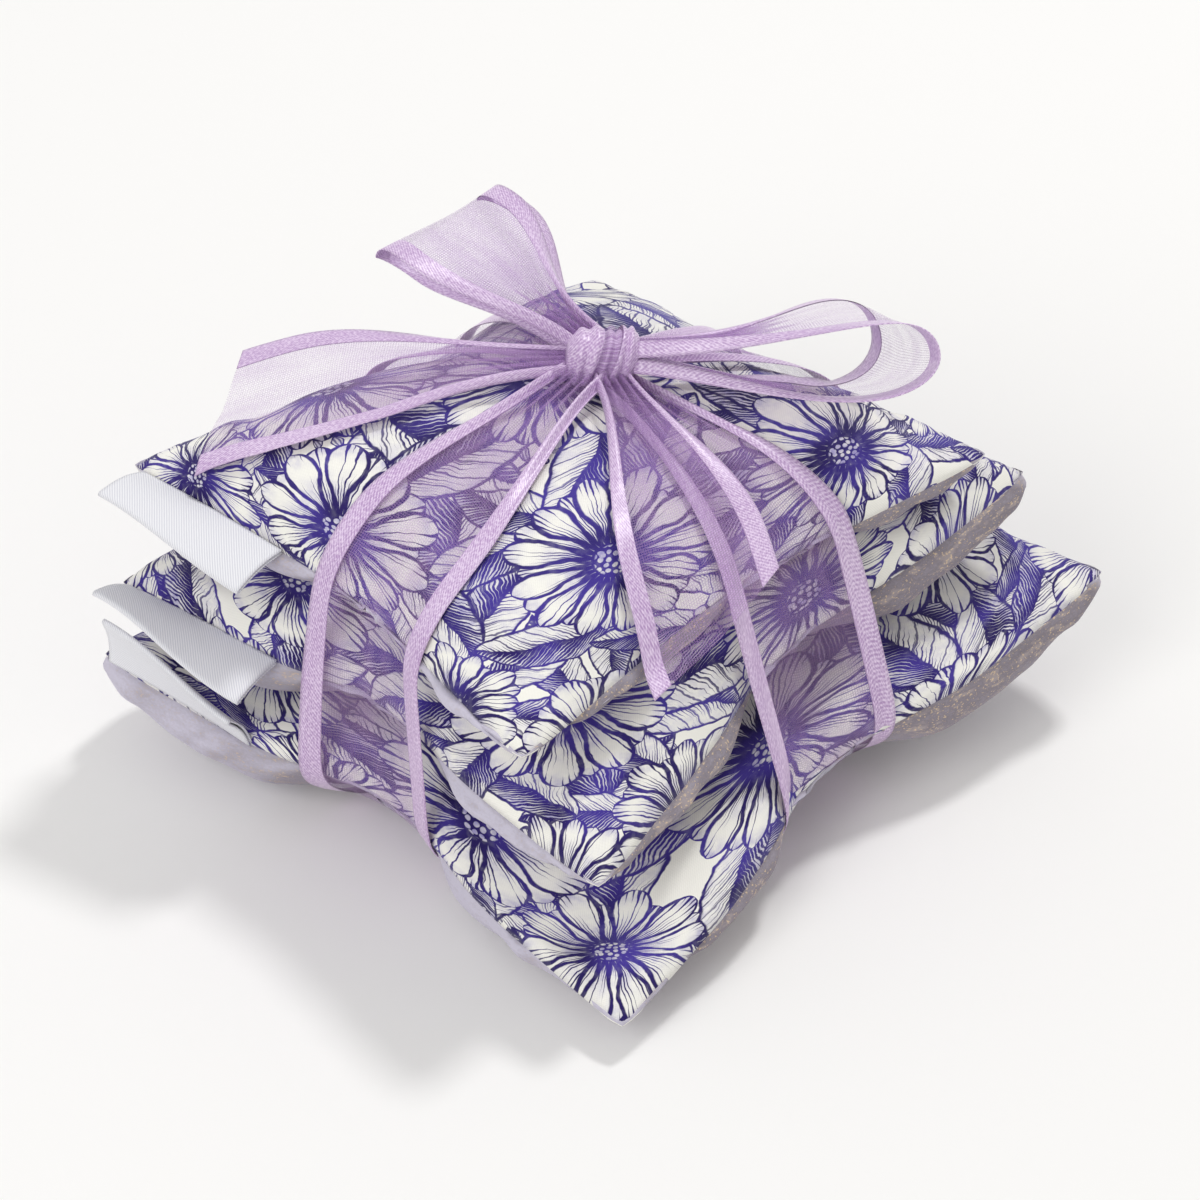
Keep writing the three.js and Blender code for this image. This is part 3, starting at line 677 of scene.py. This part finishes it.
def panelShell(net, turned):
    # outer skin, inner skin a cloth's thickness in, and the sewn edge between them
    cut, count = sachetCut, net.shape[0]
    inward = skinNormals(net) * (cut["cloth"] if turned else -cut["cloth"])
    inward = inward * mixed(cut["cornerWall"], 1.0, cornerFade(count, cut["wallFade"]))
    points = listed(net, net + inward)
    rim, inner = rimOf(count), count * count
    after = np.roll(rim, -1)
    outerFaces = gridFaces(numbered(count, count))
    innerFaces = outerFaces[:, ::-1] + inner
    edge = np.stack([rim, rim + inner, after + inner, after], -1)
    faces = listed(outerFaces, innerFaces, edge)
    return points, faces[:, ::-1] if turned else faces, len(outerFaces)


def rays(turn):  # the ways that these angles point
    return np.stack([np.cos(turn), np.sin(turn)], -1)


def barest(taken, count, draw, reach=58, tries=900):
    # of many chance spots, each next one is the farthest from everything drawn so far
    spots = draw.uniform(-reach, reach, (tries, 2))
    clear = np.linalg.norm(spots[:, None] - taken[None], axis=-1).min(1)
    chosen = []
    for _ in range(count):
        chosen.append(spots[clear.argmax()])
        clear = np.minimum(clear, np.linalg.norm(spots - chosen[-1], axis=1))
    return np.array(chosen)


def layMotifs(look, seed):
    # daisies on a shaken net, leaves round each and in bare places, sprigs by chance; mm on the flat cloth
    draw = np.random.RandomState(seed)

    def either(key, *size):  # by chance to either side
        return draw.uniform(-look[key], look[key], size)

    def anyWay(*size):  # a direction by chance
        return draw.uniform(0, 6.28, size)

    step, each, loose, twigs = (look[key] for key in ("spacing", "leavesEach", "looseLeaves", "sprigs"))
    i, j = np.meshgrid(np.arange(-2, 3), np.arange(-2, 3), indexing="ij")
    lean = anyWay()
    net = np.stack([(i + 0.5 * (j % 2)) * step, j * step * look["rowStep"]], -1).reshape(-1, 2)
    many = len(net)
    net = net + either("shake", many, 2)
    turn = np.array([[math.cos(lean), -math.sin(lean)], [math.sin(lean), math.cos(lean)]])
    middle = net @ turn.T + either("offset", 2)
    size = draw.uniform(*look["flowerRadius"], many)
    kind = draw.choice(look["petals"], many) + draw.uniform(0.05, 0.95, many)
    flowers = np.column_stack([middle, size, anyWay(many), kind])
    way = np.arange(each) * 6.28 / each + anyWay(many, 1)
    way = (way + either("leafShake", many, each)).ravel()
    foot = np.repeat(middle, each, 0) + rays(way) * np.repeat(size, each)[:, None] * look["leafFoot"]
    way = np.concatenate([way + either("leafSwing", len(way)), anyWay(loose)])
    count = len(way)
    length = draw.uniform(*look["leafLength"], count)
    ahead = rays(way) * length[:, None] / 2
    ring = middle[:, None] + rays(np.arange(8) * np.pi / 4) * size[:, None, None] * look["ringShare"]
    spots = barest(listed(middle, ring, foot + ahead[:-loose]), loose, draw)
    foot = listed(foot, spots - ahead[-loose:])
    leaves = np.column_stack([foot, length, way, draw.uniform(0, 1, count)])
    place, length = either("sprigReach", twigs, 2), draw.uniform(*look["sprigLength"], twigs)
    sprigs = np.column_stack([place, length, anyWay(twigs), draw.uniform(0, 1, twigs)])
    return flowers, leaves[draw.permutation(count)], sprigs


nowhere = (9, 9, 8.5)  # a place far off every motif


def motifPlaces(motifs, corners, near, layers):
    # each face takes the uppermost motifs that reach it, and its corners their own coordinates
    centre = corners.mean(1)

    def own(motif, spots):  # along and across the motif, in its own lengths
        off = spots - motif[..., :2]
        c, s = np.cos(motif[..., 3]), np.sin(motif[..., 3])
        x, y = off[..., 0] * c + off[..., 1] * s, off[..., 1] * c - off[..., 0] * s
        return np.stack([x, y], -1) / motif[..., 2:3]

    reached = near(*np.moveaxis(own(motifs[:, None], centre[None]), -1, 0), motifs[:, None, 4])
    found = []
    for _ in range(layers):
        covered, first = reached.any(0), reached.argmax(0)
        chosen = np.repeat(motifs[first][:, None], corners.shape[1], 1)
        place = np.concatenate([own(chosen, corners), chosen[..., 4:5]], -1)
        place[~covered] = nowhere
        reached[first, np.arange(len(centre))] = False
        found.append(listed(place))
    return found


def drawPrint(piece, faces, outerCount, flat, seed):
    # each motif layer becomes a corner attribute, and the inner skin stays bare
    flowers, leaves, sprigs = layMotifs(printLook, seed)
    corners = flat[faces[:outerCount]]
    bare = faces.size - outerCount * 4

    def nearFlower(along, across, kind):
        return np.hypot(along, across) < 1.12

    def nearLeaf(along, across, kind):
        x = np.clip(along, 0, 1)
        off = abs(across - leafBend(x, kind))
        return (off < leafHalf(x) + 0.07) & (along > -0.06) & (along < 1.06)

    def nearSprig(along, across, kind):
        return (abs(across) < 0.24) & (along > -0.08) & (along < 1.08)

    sets = [
        (flowers, nearFlower, "flower", "AB"),
        (leaves, nearLeaf, "leaf", "ABC"),
        (sprigs, nearSprig, "sprig", "AB"),
    ]
    for motifs, near, name, letters in sets:
        for letter, place in zip(letters, motifPlaces(motifs, corners, near, len(letters))):
            values = listed(place, np.full((bare, 3), nowhere[0])).astype(np.float32)
            layer = piece.data.attributes.new(name + letter, "FLOAT_VECTOR", "CORNER")
            layer.data.foreach_set("vector", values.ravel())


def seamCord(line, radius=0.35, inset=0.75, sides=6, count=400):
    # a round thread along the sewn edge, set a little into the seam
    line = listed(line, line[:1])
    rim = pointsAt(line, np.linspace(0, runAlong(line)[-1], count, endpoint=False))
    up = np.array([0, 0, 1.0])
    inward = unit(np.cross(up, np.roll(rim, -2, 0) - np.roll(rim, 2, 0)))
    inward = unit(np.roll(inward, 2, 0) + inward + np.roll(inward, -2, 0))
    ring = np.linspace(0, 2 * np.pi, sides, endpoint=False)[:, None]
    centre = rim + inward * inset
    loop = centre[:, None] + radius * (np.cos(ring) * inward[:, None] + np.sin(ring) * up)
    return listed(loop), gridFaces(np.pad(numbered(count, sides), (0, 1), "wrap"))


def budFill(upper, lower, edge, seed, gap=1.4, lumps=0.5, drawnIn=0.93):
    # the loose filling: the space between the panels drawn in round its middle, with a lumpy face
    draw = np.random.RandomState(seed)
    middle, half = (upper + lower) / 2, (upper - lower) / 2
    lump = gap + draw.uniform(0, lumps, edge.shape)
    keep = np.clip(1 - lump / np.maximum(np.linalg.norm(half, axis=-1), 1e-6), 0, 1)[..., None]
    centre = middle.mean((0, 1))
    middle = centre + (middle - centre) * drawnIn
    return sewnBag(middle + half * keep, middle - half * keep, edge)[:2]


def sachetNets(k):
    # the two panels of one sachet of the pile: pressed, blown up, puckered and kept off its neighbours
    cut, spec = sachetCut, sachets[k]
    floors = cut["underRibbon"] + np.cumsum([0] + [own["loft"] for own in sachets])
    floorAt = tableSheet if k == 0 else contactSheet(sachets[k - 1], spec, floors[k])
    ceilingAt = contactSheet(spec, sachets[k + 1], floors[k + 1]) if k + 1 < len(sachets) else None
    upper, lower, edge = pillowNets(spec, floors[k] + spec["loft"] / 2, floorAt, ceilingAt)
    upper, lower = inflated("inflating" + spec["name"], upper, lower, edge)
    nets = []
    for net, outward in ((upper, 1), (lower, -1)):
        fine = puckered(doubled(doubled(net, 0), 1), spec["seed"], cut["pucker"] * outward)
        x, y, z = np.moveaxis(fine, -1, 0)
        fine[..., 2] = np.maximum(z, floorAt(x, y) + cut["clear"])
        if ceilingAt:
            fine[..., 2] = np.minimum(z, ceilingAt(x, y) - cut["clear"])
        nets.append(fine)
    fineEdge = edgeOf(nets[0].shape[0])
    nets[1][fineEdge] = nets[0][fineEdge]
    return nets, edge


def sewSachet(spec, nets, edge):
    cut, name, node = sachetCut, spec["name"], "sachet_" + spec["name"].lower()
    count = nets[0].shape[0]
    share = shares(count) * cut["side"] / 2
    flat = np.tile(flatGrid(share, share), (2, 1))
    points, faces, outer = panelShell(nets[0], False)
    piece = addPiece("printPanel" + name, points, faces, printedCotton, flat * clothScale)
    drawPrint(piece, faces, outer, flat, spec["seed"])
    settle(piece, "bundle", "print_cotton", node + "_print_panel")
    points, faces, _ = panelShell(nets[1], True)
    piece = addPiece("backPanel" + name, points, faces, greyVelvet, flat * clothScale)
    # painted shade on the velvet: darker where the panel faces +X, away from most of the light
    level, slope = velvetLook["sideShadeSlope"]  # dark on the right side
    sideShade = eased(level + slope * skinNormals(nets[1])[..., 0]).ravel()
    paint(piece, "sideShade", np.tile(sideShade, 2))
    settle(piece, "bundle", "back_velvet", node + "_back_panel")
    points, faces = seamCord(listed(nets[0])[rimOf(count)])
    settle(addPiece("seam" + name, points, faces, seamThread), "bundle", "seam_thread", node + "_seam")
    points, faces = budFill(nets[0][::2, ::2], nets[1][::2, ::2], edge, spec["seed"])
    piece = addPiece("lavenderFill" + name, points, faces, lavenderBuds)
    settle(piece, "bundle", "lavender_buds", node + "_lavender_fill")
    print("sachet sewn", name)


pile = []
for k, spec in enumerate(sachets):
    nets, edge = sachetNets(k)
    sewSachet(spec, nets, edge)
    pile.append(nets)


# Ribbon
wrapSpec = dict(
    lanes=33, stations=240, directions=240, window=1.3, off=0.75, gathered=6.0, reach=40, pleats=3.0,
    fold=0.75, rounding=12, upperShare=0.45, groundReach=36, least=(0.5, 0.15),
)
knotSpec = dict(radius=3.7, half=4.9, sheerShare=0.25, turnRun=1.1, core=0.86, coreSide=0.07, flat=(11, 46),
                closed=0.99, pleat=0.07, pleats=6, wander=1.2, squash=0.05, skew=1.6)
knot = np.array(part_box("bow_knot")).reshape(2, 3).mean(0) / mm


def ribbonPiece(name, rows, body, node):
    stations, lanes = rows.shape[:2]
    width = ribbonLook["width"]
    run = runAlong(rows[:, lanes // 2]) / width
    uv = flatGrid(run, np.linspace(0, 1, lanes))[:, ::-1]
    piece = addPiece(name, listed(rows), gridFaces(numbered(stations, lanes)), organza, uv)
    apart = np.linalg.norm(np.diff(rows, axis=1), axis=-1) * (lanes - 1) / width
    apart = np.concatenate([apart[:, :1], (apart[:, 1:] + apart[:, :-1]) / 2, apart[:, -1:]], 1)
    paint(piece, "gather", blurred(np.clip(1 - apart, 0, 1), 1, 4).ravel())  # 0 where its threads lie flat
    thicken(piece, ribbonLook["thick"])
    settle(piece, body, "organza_ribbon", node)


def tautLine(t, z, spec, start):
    # the tight line round some points: where lines that touch them from all directions cross
    turn = np.linspace(0, 2 * np.pi, spec["directions"], endpoint=False)
    c, s = np.cos(turn), np.sin(turn)
    reach = np.max(c[:, None] * t + s[:, None] * z, axis=1) + spec["off"]
    slide = (np.roll(reach, -1) - reach * math.cos(turn[1])) / math.sin(turn[1])
    line = np.stack([reach * c - slide * s, reach * s + slide * c], -1)
    first = np.argmin(np.where(line[:, 1] > line[:, 1].mean(), abs(line[:, 0] - start), 1e9))
    line = np.roll(line, -first, 0)
    line = listed(line, line[:1])
    return pointsAt(line, np.linspace(0, runAlong(line)[-1], spec["stations"]))


def heightMap(nets, size=60, cell=1.0):
    # the highest point of the pile over each square of a plan, looked up with a little spread
    count = int(2 * size / cell) + 1
    field = np.full((count, count), -1.0)

    def square(place, shift=0):
        return np.clip((place + size) / cell + shift, 0, count - 1).round().astype(int)

    for net in nets:
        x, y, z = listed(doubled(doubled(net, 0), 1)).T
        np.maximum.at(field, (square(x), square(y)), z)

    def at(x, y):
        near = [field[square(x, i), square(y, j)] for i in (-0.5, 0.5) for j in (-0.5, 0.5)]
        return np.maximum.reduce(near)

    return at


topAt = heightMap([nets[0] for nets in pile])


def rounded(rows, times):  # a closed run of rows, smoothed along its length
    for _ in range(times):
        loop = rows[:-1]
        loop = (np.roll(loop, 1, 0) + 2 * loop + np.roll(loop, -1, 0)) / 4
        rows = np.concatenate([loop, loop[:1]])
    return rows


def wrapRows(axis, obstacles):
    # lane by lane a taut line round the pile, drawn together and pleated towards the knot
    spec, across, width = wrapSpec, 1 - axis, ribbonLook["width"]
    lanes = np.linspace(-width / 2, width / 2, spec["lanes"])
    lines = []
    for lane in lanes + bandPlace[across]:
        close = obstacles[abs(obstacles[:, across] - lane) < spec["window"]]
        lines.append(tautLine(close[:, axis], close[:, 2], spec, knot[axis]))
    line = blurred(np.stack(lines, 1), 1, 6)
    t, z = line[..., 0], line[..., 1]
    away = abs(t - knot[axis])
    upper = z > z.max() * spec["upperShare"]
    spread = np.where(upper, eased(away / spec["reach"]), 1.0)
    narrow = mixed(spec["gathered"] / width, 1.0, spread)
    rows = np.zeros((*t.shape, 3))
    rows[..., axis] = t
    rows[..., across] = lanes[None] * narrow + mixed(knot[across], bandPlace[across], spread)
    share = shares(spec["lanes"])[None]
    pleat = 1 - np.cos(np.pi * spec["pleats"] * 2 * share + axis * 1.3)
    fold = spec["fold"] * (1 - narrow) ** 1.5 * pleat * 2
    ground = topAt(rows[..., 0], rows[..., 1]) + spec["off"]
    held = upper & (away < spec["groundReach"])
    rows[..., 2] = np.where(held, np.maximum(z, ground), z) + np.where(upper, fold, 0)
    rows = rounded(rows, spec["rounding"])
    rows[..., 2] = np.maximum(rows[..., 2], spec["least"][axis])
    return rows


cloud = listed(*(net for nets in pile for net in nets))
crossRows = wrapRows(0, cloud)
longRows = wrapRows(1, listed(cloud, crossRows))
for way, rows in (("Crossways", crossRows), ("Lengthways", longRows)):
    node = "ribbon_wrap_" + way.lower()
    ribbonPiece("wrap" + way, rows, "bundle", node)
print("wraps tied")


# Bow: loops and tails come pleated out of the knot and lie clear of the pile beyond a part of their way
bowRoot = dict(reach=2.6, width=5, pleat=1.1, pleats=5)
loopRest, tailRest = dict(clear=1.0, beyond=12), dict(clear=1.3, beyond=0.25)
loopLeft = dict(azimuth=178, rise=6, length=33.5, belly=3.2, sag=0.22, across=(0, 1, 0), drift=3)
loopRight = dict(azimuth=44, rise=2.5, length=40, belly=6, sag=0.8, across=(0.84, -0.35, 0.5), drift=0)
tailLeft = dict(end=(-35, -38, 47.7), across=(0.72, -0.67, -0.18), arch=3, slant=6.8)
tailFront = dict(end=(39.8, -18.8, 42), across=(0.43, 0.9, 0.07), arch=5, slant=-12.5)


def rootPleat(opened, share):  # folds across the ribbon that die away as it opens
    return bowRoot["pleat"] * (1 - opened) ** 1.3 * np.cos(np.pi * bowRoot["pleats"] * share)


def halfWidth(opened):
    return mixed(bowRoot["width"], ribbonLook["width"], opened) / 2


def keptClear(rows, far, clear):  # no lower than the pile under it, where it is far from the knot
    ground = topAt(rows[..., 0], rows[..., 1]) + clear
    rows[..., 2] = np.maximum(rows[..., 2], np.where(far, ground, -np.inf))
    return rows


def loopRows(spec, stations=120, lanes=33):
    # out from the knot, round and back: reach ~ sin(t)^0.8, swell ~ sin(2t), pleated at the root
    t = np.linspace(0, np.pi, stations)[:, None]
    share = shares(lanes)[None]
    turn, lift = math.radians(spec["azimuth"]), math.radians(spec["rise"])
    out = np.array([math.cos(lift) * math.cos(turn), math.cos(lift) * math.sin(turn), math.sin(lift)])
    wide = np.array(spec["across"], float)
    over = np.cross(wide, out)
    wide = wide / np.linalg.norm(over)  # a slanted ribbon keeps its width
    over = unit(over if over[2] > 0 else -over)
    reach = mixed(bowRoot["reach"], spec["length"], np.sin(t) ** 0.8)
    swing = spec["belly"] * np.sin(2 * t) * np.where(t > np.pi / 2, spec["sag"], np.sin(t))
    opened = eased(1.25 * np.sin(t))
    fold = rootPleat(opened, share) + 0.5 * opened * np.sin(2.2 * share + 3 * t)
    swell = np.cos(t) + swing + fold
    aside = halfWidth(opened) * share - spec["drift"] * np.sin(2 * t) * (t > np.pi / 2)
    rows = knot + out * reach[..., None] + over * swell[..., None] + wide * aside[..., None]
    return blurred(keptClear(rows, reach > loopRest["beyond"], loopRest["clear"]), 0, 1)


def tailRows(spec, stations=90, lanes=33):
    # from the knot to the cut, laid over the pile, opening from a pleated root to full width
    share = shares(lanes)[None]
    t = np.linspace(0, 1, stations)[:, None]
    end = np.array(spec["end"], float)
    out = unit(end - knot)
    first = knot + out * bowRoot["reach"]
    along = t + spec["slant"] / np.linalg.norm(end - first) * share * t ** 2 * 0.5
    wide = unit(np.array(spec["across"], float))
    level = unit(np.array([-out[1], out[0], 0]))
    level = level if level.dot(wide) > 0 else -level
    opened = eased(1.2 * t)
    way = unit(mixed(level, wide, eased(t)[..., None]))
    rows = first + (end - first) * along[..., None] + way * (halfWidth(opened) * share)[..., None]
    rows[..., 2] += spec["arch"] * np.sin(np.pi * np.clip(along, 0, 1))
    rows[..., 2] += rootPleat(opened, share) + 0.4 * opened * np.sin(2.4 * share + 4 * t)
    rows = keptClear(rows, t > tailRest["beyond"], tailRest["clear"])
    return blurred(blurred(rows, 0, 4), 1, 2)


for side, spec in (("left", loopLeft), ("right", loopRight)):
    name, body = "loop" + side.title(), "loop_" + side
    ribbonPiece(name, loopRows(spec), body, "bow_" + body)
for side, spec in (("left", tailLeft), ("front", tailFront)):
    name, body = "tail" + side.title(), "tail_" + side
    ribbonPiece(name, tailRows(spec), body, "ribbon_" + body)


def knotRows(spec, stations=97, lanes=49):
    # a short barrel of gathered ribbon round the roots of the bow, pleated all round and closed at the ends
    turn = np.linspace(0, 2 * np.pi, stations)[:, None]
    share = shares(lanes)[None]
    axis, front, up = np.array([[0.707, 0.707, 0], [0.707, -0.707, 0], [0, 0, 1]])
    close = np.sqrt(np.clip(1 - (abs(share) ** 6) * spec["closed"], 0, 1))
    pleat = spec["pleat"] * np.cos(np.pi * spec["pleats"] * share + spec["wander"] * np.sin(turn))
    radius = (spec["radius"] * close * (1 + (pleat - spec["squash"] * np.cos(2 * turn))))[..., None]
    skew = spec["skew"] * np.sin(turn) * (1 - share ** 2)
    outward = front * np.cos(turn)[..., None] + up * np.sin(turn)[..., None]
    return knot + axis * (spec["half"] * share + skew)[..., None] + outward * radius


def tieKnot(spec):
    rows = knotRows(spec)
    stations, lanes = rows.shape[:2]
    number = numbered(stations, lanes)
    number[-1] = number[0]
    satin, sheer = ribbonLook["satin"], spec["sheerShare"]
    share = shares(lanes)
    stripe = np.sign(share) * (0.5 - satin * (1 - abs(share)) / (1 - sheer))  # both satin edges fold over it
    across = 0.5 + np.where(abs(share) > sheer, stripe, share / sheer * (0.5 - satin))
    along = np.linspace(0, spec["turnRun"], stations)
    uv = flatGrid(along, across)[:, ::-1]
    core = knot + (rows - knot) * spec["core"]
    coreUv = np.column_stack([np.full(len(uv), spec["coreSide"]), uv[:, 1]])  # the turn beneath is all satin
    points = listed(rows, core)
    faces = listed(gridFaces(number), gridFaces(number) + stations * lanes)
    piece = addPiece("knot", points, faces, organza, listed(uv, coreUv))
    thicken(piece, ribbonLook["thick"])
    settle(piece, "bundle", "organza_ribbon", "bow_knot")


tieKnot(knotSpec)
print("bow tied")


# Labels: folded white tape in the front seam
labelSpec = dict(
    length=24.5, width=9, thick=0.24, gap=0.26, stations=40, lanes=41, bend=0.08, root=(0.2, 0.3), wave=0.3,
)
labels = [
    dict(name="Bottom", start=-0.96, tilt=(78, 57), bow=0.6),
    dict(name="Middle", start=-0.96, tilt=(30, -6), bow=0.5),
    dict(name="Top", start=-0.93, tilt=(13, -9), bow=0.7),
]


def labelRows(line, spec, own):
    # a tape folded along its outer edge: a flat U carried along the seam
    first, last = pointsAt(line, np.array([0, spec["length"]]))
    along = unit(last - first)
    level = unit(np.array([along[1], -along[0], 0]))
    up = unit(np.cross(level, along))
    step = np.linspace(0, 1, spec["stations"])
    tilt = np.radians(mixed(*own["tilt"], eased(step)))[:, None, None]
    start = first + level * spec["root"][0] + up * spec["root"][1]
    bend, gap = shares(spec["lanes"]), spec["gap"]
    flat = abs(bend) > spec["bend"]
    depth = spec["width"] - gap
    arc = np.clip(bend / spec["bend"], -1, 1) * np.pi / 2
    reach = np.where(flat, (1 - abs(bend)) / (1 - spec["bend"]) * depth, depth + gap * np.cos(arc))
    off = np.where(flat, np.sign(bend) * gap, gap * np.sin(arc))
    curl = own["bow"] * np.sin(np.pi * np.clip(reach / spec["width"], 0, 1))
    curl = curl + spec["wave"] * np.sin(np.pi * step)[:, None]
    out = level * np.cos(tilt) + up * np.sin(tilt)
    face = up * np.cos(tilt) - level * np.sin(tilt)
    onward = along * (spec["length"] * step)[:, None, None]
    return start + onward + out * reach[None, :, None] + face * (off[None] + curl)[..., None], bend


def sewLabels(spec):
    for nets, own in zip(pile, labels):
        name, edgeLine = own["name"], nets[0][:, 0]
        share = shares(len(edgeLine))
        rows, bend = labelRows(edgeLine[share >= own["start"] - 1e-6], spec, own)
        count, lanes = rows.shape[:2]
        uv = flatGrid(np.linspace(0, spec["length"], count), bend * spec["width"])
        faces = gridFaces(numbered(count, lanes))
        piece = addPiece("label" + name, listed(rows), faces, labelTape, uv)
        thicken(piece, spec["thick"])
        settle(piece, "label_" + name.lower(), "label_tape", f"sachet_{name.lower()}_label")


sewLabels(labelSpec)
print("labels sewn")


# Studio: pale floor, key from above and a little behind, broad fill from the front
studio = dict(
    floor="#F7F6F4", floorHalf=3.0, ambient=0.58, lampAway=1.2, aimHeight=0.03, key=5.0,
    keyFrom=(-0.06, 0.52, 1.0), keySize=0.2, fill=4.4, fillFrom=(0.1, -1.0, 0.8), fillSize=0.8,
)


def addLamp(name, spec):
    data = bpy.data.lights.new(name, "AREA")
    data.energy, data.size, data.shape = spec[name], spec[name + "Size"], "DISK"
    back = Vector(spec[name + "From"]).normalized()
    stand(name, data, back * spec["lampAway"] + Vector((0, 0, spec["aimHeight"])), back)


def setStudio(spec):
    f = Finish("paleFloor", Roughness=0.95, Specular_IOR_Level=0.1, Base_Color=tone(spec["floor"]))
    half = spec["floorHalf"] / mm
    points = np.array([(-half, -half, 0), (-half, half, 0), (half, -half, 0), (half, half, 0)])
    floor = addPiece("floor", points, gridFaces(numbered(2, 2)), f.owner)
    addLamp("key", spec)
    addLamp("fill", spec)
    sky = Finish("studio", "worlds", "Background", Color=(1, 1, 1, 1))
    kinds = ("Is Camera Ray", "Is Glossy Ray", "Is Transmission Ray")
    direct, mirrored, through = sky.node("ShaderNodeLightPath", out=kinds)
    seen = direct.most(mirrored).most(through)  # what is seen or mirrored is white, what lights is softer
    level = sky.node("ShaderNodeMapRange", None, {0: seen, "To Min": spec["ambient"], "To Max": 1.0})
    scene.world = sky.feed(Strength=level)


setStudio(studio)
print("studio lit")
